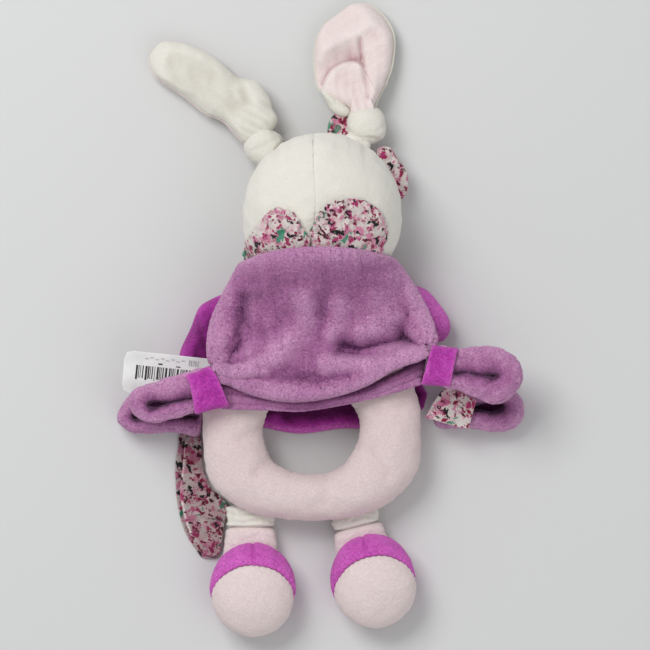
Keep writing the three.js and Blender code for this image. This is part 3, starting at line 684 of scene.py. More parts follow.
def make_face():
    """A plain embroidered face on the hidden side: two small eyes, a nose and a short mouth line."""
    for side in ("left", "right"):
        a = np.linspace(0, 2 * math.pi, 10, endpoint=False)
        oval = middle(f"eye_{side}")[:2] + 2.4 * np.stack([np.cos(a), 1.15 * np.sin(a)], axis=1)
        rings = outline_rings(oval, lambda x, y: on_head(x, y, 0.2), 8, 40)
        points, faces = pillow_points(rings, 0.5, 0.7, 1.2)
        piece(f"eye_{side}_stitches", points, faces, EYE_THREAD, [f"eye_{side}"], "head")
    low, high = box("nose_embroidery")
    centre, half = (low + high) / 2, (high - low) / 2
    nose = [centre[:2] + half[:2] * np.array(p) for p in
            [(-0.9, 0.55), (0, 0.95), (0.9, 0.55), (0.55, -0.35), (0, -0.95), (-0.55, -0.35)]]
    points, faces = pillow_points(outline_rings(nose, 0.6, 8, 48), 0.3, 0.55, 1.4)
    piece("nose_stitches", points, faces, NOSE_THREAD, ["nose_embroidery"], "head")
    for side, sign in (("left", -1), ("right", 1)):
        flat = spline([(centre[0], low[1]), (centre[0] + 0.6 * sign, low[1] - 3.5),
                       (centre[0] + 3.4 * sign, low[1] - 6), (centre[0] + 6.4 * sign, low[1] - 5.2)], 26)
        path = np.column_stack([flat, on_head(flat[:, 0], flat[:, 1], 0.1)])
        path[:, 2] = np.maximum(path[:, 2], 0.5)
        ends = tapered(26, 0.15)
        points, faces = tube_points(path, 0.45 * ends, 0.4 * ends, 10)
        piece(f"mouth_{side}_stitches", points, faces, NOSE_THREAD, (), "head")


# ---------------------------------------------------------------- collar

def make_collar():
    """Petals of gathered floral cotton, lying on the head behind and under the chin. The skirt's top presses
    the back ones flat."""
    skirt_top = box("dress_back_panel")[1][1]
    lobes = {
        "collar_back_left": [(0.014, 0.318), (0, 0.523), (0.158, 0.74), (0.366, 0.932), (0.558, 1.0),
                             (0.797, 0.932), (0.925, 0.766), (1.05, 0.587), (1.045, 0.312), (0.789, 0.082),
                             (0.342, 0.082)],
        "collar_back_right": [(-0.015, 0.551), (0, 0.709), (0.161, 0.89), (0.351, 0.969), (0.568, 0.992),
                              (0.785, 0.936), (0.934, 0.834), (1.015, 0.664), (0.988, 0.483), (0.832, 0.195),
                              (0.453, 0.059), (0.127, 0.195)]}
    for seed, (node, fractions) in enumerate(lobes.items()):
        outline = spline(within(node, fractions), 90, closed=True)
        centre = outline.mean(axis=0)
        frayed = np.random.default_rng(70 + seed).uniform(-0.7, 0.5, 90)[:, None]
        outline = outline + (outline - centre) / np.linalg.norm(outline - centre, axis=1)[:, None] * frayed
        neck = np.array([centre[0] * 0.8, outline[:, 1].min() - 6])

        def height(x, y, seed=seed, neck=neck, edge=spline(outline, 90, closed=True)):
            base = on_head(x, y, 1.7, under=False)
            turn = np.arctan2(x - neck[0], y - neck[1])
            reach = np.clip(np.hypot(x - neck[0], y - neck[1]) / 50, 0, 1)
            pleats = 0.9 * (1 - 0.5 * reach) * np.sin(turn * 17 + 2.2 * np.sin(turn * 4 + seed))
            gap = np.min(np.hypot(x[..., None] - edge[:, 0], y[..., None] - edge[:, 1]), axis=-1)
            frill = 0.9 * bell(gap, 3.0) * np.sin(turn * 46 + seed)
            crumple = 1.1 * lumps_at(x, y, 9, 31 + seed) + 0.75 * lumps_at(x, y, 4.5, 33 + seed)
            free = np.clip((y - skirt_top) / 9, 0.2, 1)
            return base + (pleats + frill + crumple) * free - 1.4 * (1 - free)

        points, faces = pillow_points(outline_rings(outline, height, 46, 260), 1.7, 1.2, 3.4)
        lobe = piece(node + "_lobe", points, faces, FLORAL, [node], "head", passes=30,
                     tone_and_painted_light=0.12)
    for seed, side in enumerate(("left", "right")):
        node = f"collar_front_{side}"
        flip = (lambda u: u) if side == "right" else (lambda u: 1 - u)
        fractions = [(0.03, 0.1), (0.05, 0.6), (0.25, 0.95), (0.6, 0.98), (0.9, 0.75), (0.98, 0.4),
                     (0.5, 0.02)]
        outline = within(node, [(flip(u), v) for u, v in fractions])

        def under(x, y, seed=seed):
            return np.maximum(on_head(x, y, 1.4) + 0.5 * lumps_at(x, y, 9, 41 + seed), 1.1)

        points, faces = pillow_points(outline_rings(outline, under, 26, 140), 0.7, 0.8, 2.4)
        lobe = piece(node + "_lobe", points, faces, FLORAL, [node], "head", passes=20)


# ---------------------------------------------------------------- ears

def ear_frame(side):
    """Where the ear's knot is, and the direction of its blade in degrees, from the joint that it turns on."""
    knot, axis = hinge(f"ear_{side}_flop")
    return knot, math.degrees(math.atan2(axis[0], -axis[1]))


def make_ear(side, spine, top, bottom, relief, lips):
    """Two cloths sewn round a flat blade. spine is (along, across, half width, height) from the knot, relief
    gives the top's folds in the same terms, and lips is how far the bottom shows past it on either edge. Each
    cloth is its node's last name, its stuff, its thickness and its rim."""
    knot, angle = ear_frame(side)
    spine = np.array(spine, float)
    centre = turned([(np.mean(spine[:, 0]), np.mean(spine[:, 1]))], angle, knot[:2])[0]
    a = math.radians(angle)

    def ear_place(x, y):
        dx, dy = x - knot[0], y - knot[1]
        return dx * math.cos(a) + dy * math.sin(a), dy * math.cos(a) - dx * math.sin(a)

    def height(x, y):
        return knot[2] + np.interp(ear_place(x, y)[0], spine[:, 0], spine[:, 3])

    for layer, (part, stuff, thick, rim) in {"top": top, "bottom": bottom}.items():
        name = f"ear_{side}_{part}"
        grow = (0.0, 0.0) if layer == "top" else lips
        upper = [(along, across + half + grow[0]) for along, across, half, _ in spine]
        lower = [(along, across - half - grow[1]) for along, across, half, _ in spine][::-1]
        rings = outline_rings(turned(upper + lower, angle, knot[:2]), height, 56, 320, centre)

        def ripple(p):
            flat = p.reshape(-1, 3)
            along, across = ear_place(p[..., 0], p[..., 1])
            uneven = 0.9 * lumps(flat, 24, {"outer": 62, "lining": 63}[part]) + 0.14 * lumps(flat, 7, 52)
            pleats = 0.55 * np.sin(across * 1.5 + 1.2 * np.sin(along * 0.25)) * np.exp(-(along - 4) / 9)
            return relief(along, across) + uneven.reshape(p.shape[:2]) + pleats

        if layer == "top":
            points, faces = pillow_points(rings, thick, 0.6, rim, ripple)
        else:
            points, faces = pillow_points(rings, -0.2, thick, rim)
        piece(name + "_cloth", points, faces, stuff, [name], f"ear_{side}", fuzz=0.07,
              tone_and_painted_light=-0.12 if stuff is CREAM else 0.0)


def make_ear_knot(side, seed):
    """The ear's own cloth tied in a knot: a plump ball, a little squared, with a few deep creases."""
    node = f"ear_{side}_knot"
    low, high = box(node)
    centre, radii = (low + high) / 2, (high - low) / 2
    _, angle = ear_frame(side)
    rows, columns = 96, 150
    polar = np.linspace(0, math.pi, rows)[:, None]
    turn = np.linspace(0, 2 * math.pi, columns, endpoint=False)[None]
    a = math.radians(angle)
    ahead = np.array([math.cos(a), math.sin(a), 0.0])
    unit = ball_grid(polar, turn, ahead, np.cross(UP, ahead), UP)
    flat = unit.reshape(-1, 3) * 10
    uneven = 0.035 * lumps(flat, 13, 61 + seed) + 0.010 * lumps(flat, 4.5, 65 + seed)
    creases = np.zeros(unit.shape[:2])
    for place, deep, wide, lean in ((0.60, 0.03, 0.18, 0.3), (1.50, 0.025, 0.12, -0.5),
                                    (2.40, 0.07, 0.14, 0.25)):
        bent = place + lean * np.sin(turn + seed * 1.7 + place)
        creases -= deep * bell(polar - bent, wide) * np.sin(polar) ** 0.3
    squarish = 0.09 * np.sin(2 * polar) ** 2 + 0.05 * np.sin(2 * turn) ** 2 * np.sin(polar) ** 2
    scale = 1.02 + creases + uneven.reshape(unit.shape[:2]) + squarish
    points = (centre + unit * scale[..., None] * radii).reshape(-1, 3)
    piece(node + "_ball", points, grid_faces(rows, columns, wrap_columns=True), CREAM, [node], f"ear_{side}",
          fuzz=0.07)


def make_ear_root(side, seed, fan):
    """The gathered base of an ear, from inside the head out to its knot."""
    knot, _ = ear_frame(side)
    towards = np.array([HEAD[0], HEAD[1], HEAD[2] - 8]) - knot
    towards /= np.linalg.norm(towards)
    count, around = 40, 96
    path = knot + np.linspace(7.5, 27, count)[:, None] * towards
    half = np.linspace(6.0, fan, count)
    points, faces = tube_points(path, half, np.linspace(5.2, 9.0, count), around)
    outward = off_path(points, path, around)
    turn = np.arctan2(outward[:, 2], outward @ np.cross(towards, UP))
    pleats = 0.2 * np.sin(turn * 5 + seed) + 0.3 * lumps(points, 14, 71 + seed)
    reach = np.linalg.norm(outward, axis=1)[:, None]
    points = points + outward / np.maximum(reach, 0.1) * pleats[:, None]
    piece(f"ear_{side}_root_gathers", points, faces, CREAM, [f"ear_{side}_root"], "head", fuzz=0.07)


def left_ear_relief(along, across):
    """Soft pinches in the stuffed-looking outer cloth."""
    return (fold(along, across, [(33, -20), (28, -17), (22, -12)], -1.2, 2.6)
            + dent(along, across, (47, -8), -0.6, 7) + dent(along, across, (26, -6), -0.7, 5)
            + fold(along, across, [(8, -4), (16, -7), (24, -8)], -0.5, 2.4))


def right_ear_relief(along, across):
    """The lining's curled hood, with a deep fold down its middle and a rolled edge above."""
    left_side = np.clip((across - 1.0) / 3.0, 0, 1)
    above = np.clip((along - 30) / 3.0, 0, 1) * np.clip((46 - along) / 8.0, 0, 1)
    return (ledge(along, across, [(19, 20), (23, 18.6), (28.4, 15), (31.7, 9.2), (32.4, 3.6), (30.8, -0.1),
                                  (27.7, -1.8)], 4.2, 9)
            + fold(along, across, [(43, -1.5), (35, -1.2), (28, -1.8), (20, -2.5), (14, -2.4)], -2.0, 1.3)
            - 1.3 * left_side * above * bell(across - 3, 6)
            + fold(along, across, [(36, 20), (41, 14), (44.3, 5.4), (50.5, -6.7)], 1.8, 4.5)
            + fold(along, across, [(58, 1), (55, 7), (52, 13)], -1.2, 4)
            + fold(along, across, [(36, -7), (26, -8), (17, -6)], 1.0, 4.5))


def make_ear_flap():
    """The corner of the right ear's outer cloth that curls up beside its knot."""
    knot, angle = ear_frame("right")
    outline = turned([(20, 19.6), (15.2, 13.2), (10.6, 8.6), (7.6, 7.0), (5.6, 9.6), (6.6, 13.6), (9.8, 16.9),
                      (14, 18.9), (18.5, 20.6)], angle, knot[:2])
    points, faces = pillow_points(outline_rings(outline, knot[2] + 0.2, 24, 110), 3.2, 3.0, 4.5)
    piece("ear_right_outer_flap", points, faces, CREAM, (), "ear_right", fuzz=0.07)


def make_ears():
    make_ear("left",
             [(2.5, -9.4, 4.4, 1.6), (5.5, -8, 8.6, 1.3), (8.9, -7, 11, 1), (12.3, -8.2, 12.4, 0.4),
              (18, -9.8, 13, -0.6), (24, -10.8, 13.1, -2), (29, -9, 12.3, -3), (34, -7.3, 12, -3.5),
              (47.5, -7.9, 12.5, -4.5), (61, -6.1, 11.7, -5.2), (68, -4.9, 9.6, -5.6), (74, -5, 4.4, -6)],
             ("outer", CREAM, 6.4, 9.0), ("lining", LINING, 4.5, 5.0), left_ear_relief, (0.5, -0.6))
    make_ear("right",
             [(4.5, 1.0, 5.6, 2), (9.4, 1.2, 6.2, 1), (13.6, 2.9, 10.2, 0), (16.8, 4.4, 13.8, -1),
              (20, 4.85, 16.2, -2), (22.2, 4.85, 17.2, -2.8), (26.3, 4.0, 18.5, -3.4), (33, 3.05, 19.5, -4),
              (41, 1.85, 19.7, -4.8), (47, 1.3, 18.5, -5.4), (53, 0.5, 14.9, -6), (58.4, -1.6, 8.4, -6.3),
              (61.6, -2, 3.0, -6.5)],
             ("lining", LINING, 5.6, 7.0), ("outer", CREAM, 5.0, 5.0), right_ear_relief, (0.8, 1.2))
    make_ear_flap()
    for seed, (side, fan) in enumerate((("left", 11.0), ("right", 13.5))):
        make_ear_knot(side, seed)
        make_ear_root(side, seed, fan)


# ---------------------------------------------------------------- floral ribbons

def make_ribbon(node, body, fractions, up, down, rim, wave, seed, tone_and_painted_light=0.0):
    """A flat floral ribbon inside its CAD node's box, from an outline in fractions of that box."""
    base = middle(node)[2]

    def surface(x, y):
        return base + wave * (0.7 * lumps_at(x, y, 11, seed) + 0.5 * lumps_at(x, y, 5, seed + 7))

    points, faces = pillow_points(outline_rings(within(node, fractions), surface, 34, 240), up, down, rim)
    cloth = piece(node + "_cloth", points, faces, FLORAL, [node], body, passes=24, tone_and_painted_light=tone_and_painted_light)


def make_piping():
    """A narrow rolled edge along the outer side of the ribbon tail's upper layer."""
    node, count = "ribbon_tail_upper", 90
    flat = spline(within(node, [(0.13, 0.965), (0.06, 0.737), (0.0, 0.538), (0.07, 0.368), (0.214, 0.205),
                                (0.393, 0.08)]), count)
    path = np.column_stack([flat, np.full(count, box(node)[1][2] - 0.3)])
    ends = tapered(count, 0.05)
    points, faces = tube_points(path, 0.9 * ends, 0.8 * ends, 14)
    piece("ribbon_tail_rolled_edge", points, faces, FLORAL, (), "ribbon_tail")


def make_ribbons():
    make_ribbon("ear_ribbon_short_end", "head",
                [(0.0, 0.10), (0.0, 0.62), (0.4, 1.0), (0.9, 1.0), (1.15, 0.5), (1.1, 0.0), (0.5, -0.08)],
                1.8, 1.2, 2.2, 1.2, 81)
    make_ribbon("ear_ribbon_long_end", "head",
                [(0.0, 0.95), (0.4, 1.0), (0.72, 0.72), (1.0, 0.5), (1.0, 0.12), (0.8, -0.05), (0.45, 0.3),
                 (0.1, 0.62)],
                2.0, 1.2, 2.6, 1.4, 82)
    # The tail is darkened, partly for its darker print and partly as painted shadow from the ring.
    make_ribbon("ribbon_tail_under", "ribbon_tail",
                [(0.094, 1.0), (0.05, 0.90), (-0.01, 0.76), (0.0, 0.58), (0.033, 0.44), (0.143, 0.263),
                 (0.25, 0.171), (0.434, 0.065), (0.525, 0.02), (0.69, 0.005), (0.88, 0.02), (0.943, 0.135),
                 (0.963, 0.278), (0.88, 0.437), (0.676, 0.563), (0.51, 0.754), (0.45, 0.976)],
                0.7, 0.7, 1.2, 0.5, 83, tone_and_painted_light=-0.38)
    make_ribbon("ribbon_tail_upper", "ribbon_tail",
                [(0.104, 0.967), (0.04, 0.737), (-0.02, 0.538), (0.05, 0.368), (0.194, 0.205), (0.373, 0.073),
                 (0.617, 0.0), (0.89, 0.003), (0.995, 0.073), (1.05, 0.22), (1.14, 0.37), (1.16, 0.43),
                 (0.93, 0.508), (0.726, 0.574), (0.527, 0.745), (0.463, 0.982)],
                1.6, 0.4, 1.4, 0.8, 84, tone_and_painted_light=-0.38)
    make_piping()
    make_ribbon("ribbon_tag", "ring",
                [(0.436, 0.995), (0.6, 0.93), (0.9, 0.75), (1.0, 0.691), (1.0, 0.66), (0.925, 0.35),
                 (0.855, 0.03), (0.83, 0.0), (0.612, 0.039), (0.3, 0.15), (0.0, 0.25), (-0.01, 0.29),
                 (0.09, 0.52), (0.2, 0.744), (0.32, 0.92), (0.4, 0.985)],
                0.7, 0.7, 0.8, 0.6, 85)


# ---------------------------------------------------------------- trunk and arms

def make_bodice():
    """The small trunk under the skirt back, wide at the chest and closed at both ends."""
    low, high = box("bodice")
    rows, columns = 40, 120
    t = np.linspace(0, 1, rows)
    y = low[1] + t * (high[1] - low[1])
    half = np.interp(t, [0, 0.25, 0.6, 1], [30, 33, 32.5, 20])
    top = np.interp(t, [0, 0.25, 0.6, 1], [34, 38, 39, 34])
    close = np.clip(tapered(rows, 0.12), 0.02, 1)
    a = np.linspace(0, 2 * math.pi, columns, endpoint=False)
    x = np.cos(a)[None] * (half * close)[:, None]
    z = top[:, None] / 2 + signed_power(np.sin(a), 0.8) * ((top / 2 - 0.2) * close)[:, None]
    points = np.stack([x, np.broadcast_to(y[:, None], x.shape), z], axis=2).reshape(-1, 3)
    points = points + 0.35 * lumps(points, 9, 91)[:, None] * np.array([0, 0.4, 0])
    faces = grid_faces(rows, columns, wrap_columns=True)
    for row in (0, rows - 1):
        faces.append([row * columns + j for j in range(columns)])
    piece("bodice_cover", points, faces, PURPLE, ["bodice"], "trunk")


def make_arm(side, outline, seed, tone_and_painted_light):
    """A plump sleeve, from its outline in fractions of its box."""
    node = f"arm_{side}_sleeve"
    low, high = box(node)
    mid = (low[2] + high[2]) / 2
    rings = outline_rings(within(node, outline), mid, 40, 180)

    def ripple(p):
        return (0.6 * lumps(p.reshape(-1, 3), 15, seed)).reshape(p.shape[:2])

    points, faces = pillow_points(rings, high[2] - mid, mid - low[2], 9.5, ripple)
    piece(f"arm_{side}_cover", points, faces, PURPLE, [node], f"arm_{side}", tone_and_painted_light=tone_and_painted_light)


def make_arms():
    # The left sleeve is darkened as painted shade under the skirt's edge; the right one is lightened as
    # painted light against the skirt's shadow on it.
    make_arm("left", [(0.868, 0.933), (0.716, 1.0), (0.539, 1.01), (0.337, 0.933), (0.21, 0.841),
                      (0.109, 0.61), (-0.018, 0.356), (-0.03, 0.171), (0.084, 0.009), (0.311, 0.032),
                      (0.514, 0.309), (0.767, 0.587)], 95, -0.26)
    make_arm("right", [(0.083, 0.963), (0.38, 1.06), (0.66, 0.98), (0.90, 0.68), (1.04, 0.40), (1.02, 0.18),
                       (0.90, 0.04), (0.72, 0.07), (0.447, 0.254), (0.116, 0.478)], 96, 0.45)


# ---------------------------------------------------------------- grip ring

RING_CREASES = [
    (1.6, [(-21, -66), (-25, -71), (-32, -77)]), (1.2, [(-27, -55), (-33, -57), (-40, -60)]),
    (1.5, [(23, -67), (27, -72), (33, -79)]), (1.2, [(2, -79), (3, -85), (1, -92)]),
    (1.0, [(27, -46), (34, -45), (42, -43)])]


def make_ring():
    """Two ring-shaped panels of velour, sewn along the inner and outer edges, over the stuffing."""
    low, high = box("ring_back_panel", "ring_front_panel")
    centre = (low + high) / 2
    outer = (high - low)[:2] / 2
    inner = outer * np.array([0.42, 0.462])
    half_height = 12.5
    tilt = ((high - low)[2] - 2 * half_height) / (2 * outer[1])
    steps, turns = 300, 34
    around = np.linspace(0, 2 * math.pi, steps, endpoint=False)
    circle = np.stack([np.cos(around), np.sin(around)], axis=1)
    rim = outer * signed_power(circle, 2 / 2.65)
    hole = inner * signed_power(circle, 0.92)
    core, half = (rim + hole) / 2, (rim - hole) / 2
    for node, sign in (("ring_back_panel", 1), ("ring_front_panel", -1)):
        section = np.linspace(0, math.pi, turns) * sign
        flat = core[:, None] + half[:, None] * np.cos(section)[None, :, None]
        z = np.sin(section)[None] * half_height + 0 * flat[..., 0]
        points = np.concatenate([flat, z[..., None]], axis=2).reshape(-1, 3)
        edge = np.abs(np.sin(np.tile(section, steps)))
        direction = points - np.column_stack([np.repeat(core, turns, axis=0), np.zeros(steps * turns)])
        direction /= np.linalg.norm(direction, axis=1)[:, None]
        turn = np.repeat(around, turns)
        pucker = 0.15 * np.sin(turn * 46 + 2 * np.sin(turn * 5)) * bell(edge, 0.45)
        swell = 0.9 * lumps(points, 42, 101) + 0.25 * lumps(points, 14, 102)
        x, y = points[:, 0] + centre[0], points[:, 1] + centre[1]
        creases = sum(fold(x, y, line, -depth, 3.2) for depth, line in RING_CREASES) * np.sqrt(edge)
        points = points + direction * (swell + pucker + creases - bell(edge, 0.10) - 0.4)[:, None]
        points[:, 2] += centre[2] + tilt * points[:, 1]
        points[:, :2] += centre[:2]
        piece(node.replace("panel", "velour"), points, grid_faces(steps, turns, wrap_rows=True), PINK, [node],
              "ring", shell=1.0)


# ---------------------------------------------------------------- legs and feet

def make_leg(side, seed):
    """A short crumpled thigh, and the sock below it that runs into the foot."""
    hip, axis = hinge(f"leg_{side}_swing")
    ankle, _ = hinge(f"foot_{side}_bend")
    reach = np.linalg.norm(ankle - hip)
    down = (ankle - hip) / reach
    thick, count, around = 6.6, 44, 120
    t = np.linspace(0, 1, count)
    # The thigh is darkened as painted shade under the ring.
    for part, stuff, start, stop, half, crumple, tone_and_painted_light in (
            ("thigh", CREAM, -5.5, 6.4, (12.2, 11.8), 0.5, -0.1),
            ("sock", PINK, 5.2, reach + 6, (12.2, 14.2), 0.22, 0.45)):
        path = hip + (start + t * (stop - start))[:, None] * down
        ends = np.clip(tapered(count, 0.16), 0.05, 1)
        wide = np.interp(t, [0, 1], half) * ends
        points, faces = tube_points(path, wide, thick * ends, around, 2.6, side=axis)
        outward = off_path(points, path, around)
        outward /= np.maximum(np.linalg.norm(outward, axis=1), 0.1)[:, None]
        along = (points - hip) @ down
        across = (points - hip) @ axis
        folds = 0.5 * np.sin(along * 1.5 + 1.6 * np.sin(across * 0.3 + seed)) + lumps(points, 5.5, 111 + seed)
        points = points + outward * (crumple * folds)[:, None]
        name = f"leg_{side}_{part}"
        piece(name + "_cloth", points, faces, stuff, [name], f"leg_{side}", tone_and_painted_light=tone_and_painted_light)


def make_foot(side, seed):
    """A plump shoe and a bulging sole, sewn together round a slanted seam."""
    low, high = box(f"foot_{side}_shoe", f"foot_{side}_sole")
    _, axis = hinge(f"foot_{side}_bend")
    splay = math.atan2(axis[1], axis[0])
    right = np.array([math.cos(splay), math.sin(splay), 0])
    ahead = np.cross(UP, right)
    radii = np.array([21.5, 23.0, 14.5])
    centre = np.array([(low[0] + high[0]) / 2, low[1] + radii[1], radii[2]])
    sole_tilt, sole_start = math.radians(32), 3.2
    stretched = radii * np.array([0, -math.sin(sole_tilt), math.cos(sole_tilt)])
    pole = stretched / np.linalg.norm(stretched)
    seam = math.acos(sole_start * math.cos(sole_tilt) / np.linalg.norm(stretched))
    sideways = np.array([1.0, 0, 0])
    columns = 180
    turn = np.linspace(0, 2 * math.pi, columns, endpoint=False)[None]
    for part, stuff, first, last, rows, tone_and_painted_light in (("sole", PINK, 0.0, seam, 44, 0.42),
                                                ("shoe", PURPLE, seam, math.pi, 60, 0.08)):
        polar = np.linspace(first, last, rows)[:, None]
        unit = ball_grid(polar, turn, pole, sideways, np.cross(pole, sideways))
        away = np.abs(polar - seam) * 20
        tuck = 0.075 * bell(away, 1.1) + 0.03 * bell(away, 4)
        pucker = 0.010 * np.sin(turn * 40 + seed) * bell(away, 3)
        bulge = 0.05 * np.sin(np.clip(polar / seam, 0, 1) * math.pi) if part == "sole" else 0.012
        flat = unit.reshape(-1, 3) * radii
        uneven = 0.02 * lumps(flat, 19, 121 + seed).reshape(unit.shape[:2])
        toe_seam = 0.035 * bell(unit[..., 0], 0.05) * (part == "shoe")
        local = unit * (1 + bulge + uneven + pucker - tuck - toe_seam)[..., None] * radii
        points = centre + local[..., :1] * right + local[..., 1:2] * ahead + local[..., 2:] * UP
        name = f"foot_{side}_{part}"
        piece(name + "_velour", points.reshape(-1, 3), grid_faces(rows, columns, wrap_columns=True), stuff,
              [name], f"foot_{side}", shell=1.0, tone_and_painted_light=tone_and_painted_light)


# ---------------------------------------------------------------- dress

BACK = "dress_back_panel"
SKIRT_FOLDS = [
    (-1.8, 8.0, [(0.22, 0.77), (0.34, 0.79), (0.50, 0.79), (0.66, 0.77)]),
    (2.0, 5.0, [(0.09, 0.72), (0.075, 0.58), (0.06, 0.42), (0.035, 0.27)]),
    (-2.7, 5.2, [(0.165, 0.68), (0.155, 0.54), (0.14, 0.40), (0.10, 0.26)]),
    (3.4, 7.0, [(0.04, 0.20), (0.18, 0.24), (0.30, 0.32), (0.38, 0.43), (0.43, 0.54), (0.43, 0.66)]),
    (-1.2, 4.5, [(0.22, 0.50), (0.25, 0.42), (0.24, 0.34)]),
    (-1.7, 4.4, [(0.50, 0.67), (0.51, 0.55), (0.50, 0.44)]),
    (2.0, 5.5, [(0.58, 0.64), (0.57, 0.55), (0.54, 0.46)]),
    (2.0, 7.5, [(0.74, 0.66), (0.77, 0.57), (0.73, 0.47)]),
    (-6.2, 6.0, [(0.60, 0.375), (0.68, 0.355), (0.78, 0.385), (0.85, 0.42)]),
    (-1.8, 3.6, [(0.88, 0.56), (0.865, 0.49), (0.90, 0.40)]),
    (3.8, 4.6, [(1.0, 0.31), (0.88, 0.315), (0.77, 0.30), (0.66, 0.265), (0.54, 0.25)]),
    (-2.2, 2.6, [(0.86, 0.41), (0.92, 0.375), (0.98, 0.335)]),
    (-1.8, 1.8, [(0.04, 0.185), (0.13, 0.16), (0.23, 0.17)]),
    (1.2, 2.2, [(0.05, 0.215), (0.14, 0.205), (0.25, 0.21)]),
    (-1.0, 1.8, [(0.05, 0.245), (0.13, 0.26), (0.20, 0.30)]),
    (1.6, 5.0, [(0.90, 0.72), (0.955, 0.56), (0.985, 0.43)]),
    (1.6, 5.0, [(0.08, 0.17), (0.21, 0.12), (0.40, 0.08), (0.60, 0.12), (0.77, 0.22), (0.95, 0.31)]),
    (-2.0, 6.5, [(0.24, 0.20), (0.36, 0.16), (0.50, 0.16), (0.62, 0.19)])]


def skirt_folds(x, y):
    """The skirt back's folds, and the lip that hangs over its deepest hollow and stops where that ends."""
    height = np.zeros(x.shape)
    for rise, width, line in SKIRT_FOLDS:
        height = height + fold(x, y, within(BACK, line), rise, width)
    lip = within(BACK, [(0.86, 0.35), (0.76, 0.325), (0.67, 0.315), (0.60, 0.33), (0.56, 0.355)])
    before_end = distance_to_line(x, y, lip)[1] < 0.999
    return height + ledge(x, y, lip, 1.6, 6.0) * before_end


def skirt_height(x, y, across, v):
    """The skirt back's height: up over the head's nape, down to the trunk, and gathered in to both bands."""
    fall = np.clip(v / 0.55, 0, 1)
    ridge = (box(BACK)[1][2] - 2.5) - 25 * fall ** 2 * (3 - 2 * fall) - 4.0 * v
    border = 40.5 - 3.5 * v - 7 * np.sin(math.pi * v)
    height = border + (ridge - border) * (1 - np.abs(across) ** 2.4)
    for u, w in ((0.02, 0.2), (0.985, 0.33)):
        height = height + gathers(x, y, within(BACK, [(u, w)])[0], 0.9, 17, 13)
    return height


def filled_in(left, right, top, bottom, u, v):
    """A smooth grid of places inside four edges, u from left to right and v from top to bottom."""
    return [(1 - v) * top[None, :, k] + v * bottom[None, :, k] + (1 - u) * left[:, None, k]
            + u * right[:, None, k] - (1 - v) * ((1 - u) * top[0, k] + u * top[-1, k])
            - v * ((1 - u) * bottom[0, k] + u * bottom[-1, k]) for k in range(2)]


def grid_shares(rows, columns):
    """Shares from 0 to 1 down the rows of a grid, and across its columns."""
    return np.linspace(0, 1, rows)[:, None], np.linspace(0, 1, columns)[None]


def make_dress_back():
    """The skirt back: one thick velour panel, open along its sides, folded under at the bottom."""
    rows, columns = 170, 230
    left = spline(within(BACK, [(0.15, 0.90), (0.08, 0.72), (0.02, 0.54), (0, 0.35), (0.02, 0.24),
                                (0.03, 0.15)]), rows)
    right = spline(within(BACK, [(0.82, 0.93), (0.90, 0.78), (0.97, 0.61), (1.01, 0.45), (1.01, 0.37),
                                 (0.99, 0.29)]), rows)
    top = spline(within(BACK, [(0.15, 0.90), (0.23, 0.95), (0.33, 0.985), (0.44, 1.0), (0.56, 1.0),
                               (0.68, 0.985), (0.76, 0.96), (0.82, 0.93)]), columns)
    bottom = spline(within(BACK, [(0.03, 0.15), (0.075, 0.135), (0.218, 0.055), (0.364, 0.020),
                                  (0.527, 0.042), (0.685, 0.112), (0.83, 0.230), (0.96, 0.295),
                                  (0.99, 0.29)]), columns)
    v, u = grid_shares(rows, columns)
    x, y = filled_in(left, right, top, bottom, u, v)
    crumple = 0.5 * lumps_at(x, y, 15, 131) + 0.25 * lumps_at(x, y, 6, 132)
    crumple = crumple + 0.16 * lumps_at(x, y, 2.8, 133) + 0.10 * lumps_at(x, y, 1.5, 134, 1)
    folds = skirt_folds(x, y)
    mid = np.stack([x, y, skirt_height(x, y, 2 * u - 1, v) + folds + crumple], axis=2)
    edge = to_border(mid)
    mid[..., 2] -= 3.2 * (1 - rounded(edge, 6.5))
    roll = 1.0 * np.clip((v - 0.86) / 0.14, 0, 1) * np.sin(math.pi * u) ** 0.4
    points, faces = quilt(mid, (1.7 + roll + 0.4 * bell(edge - 2.2, 1.8)) * rounded(edge, 3.0))
    sewn = box(BACK)[1][1]
    start, end = (0, (sewn + 1) * MM, 0), (0, (sewn - 22) * MM, 0)
    # Painted light on the folds: lighter on their ridges and painted shade in their hollows; the panel is
    # also darker towards its left side.
    cloth = piece("dress_back_cloth", points, faces, MAUVE, [BACK], blend=("trunk", "dress_back", start, end),
                  fuzz=0.10, passes=60, tone_and_painted_light=np.tile((0.05 * folds + 0.15 * (u - 0.6)).ravel(), 2))


def make_hem():
    """The skirt's lower layer, seen as a strip under the fold, its pleats drawn in to both bands."""
    rows, columns = 44, 240
    node = "dress_back_hem"
    upper = spline(within(node, [(-0.06, 0.80), (0.24, 0.50), (0.52, 0.44), (0.78, 0.62), (1.07, 1.22)]),
                   columns)
    lower = spline(within(node, [(-0.04, 0.06), (0.20, 0.05), (0.41, 0.02), (0.67, 0.19), (0.88, 0.41),
                                 (1.04, 0.60)]), columns)
    t, u = grid_shares(rows, columns)
    x, y = (upper[None, :, k] * (1 - t) + lower[None, :, k] * t for k in range(2))
    pleats = 0.8 * np.sin(t * 21 + 3 * u) * np.abs(2 * u - 1) ** 1.2 + 0.5 * np.sin(t * 9 + 5 * u)
    z = box(node)[1][2] - 2.2 - 1.6 * t + 0.5 * lumps_at(x, y, 12, 141) + pleats
    mid = np.stack([x, y, z], axis=2)
    points, faces = quilt(mid, 1.5 * rounded(to_border(mid), 1.8))
    shaded = -0.4 * bell(t, 0.4) - 0.1 + 0 * u
    hem = piece(node + "_cloth", points, faces, MAUVE, [node], "dress_back", fuzz=0.10,
                tone_and_painted_light=np.tile(shaded.ravel(), 2))


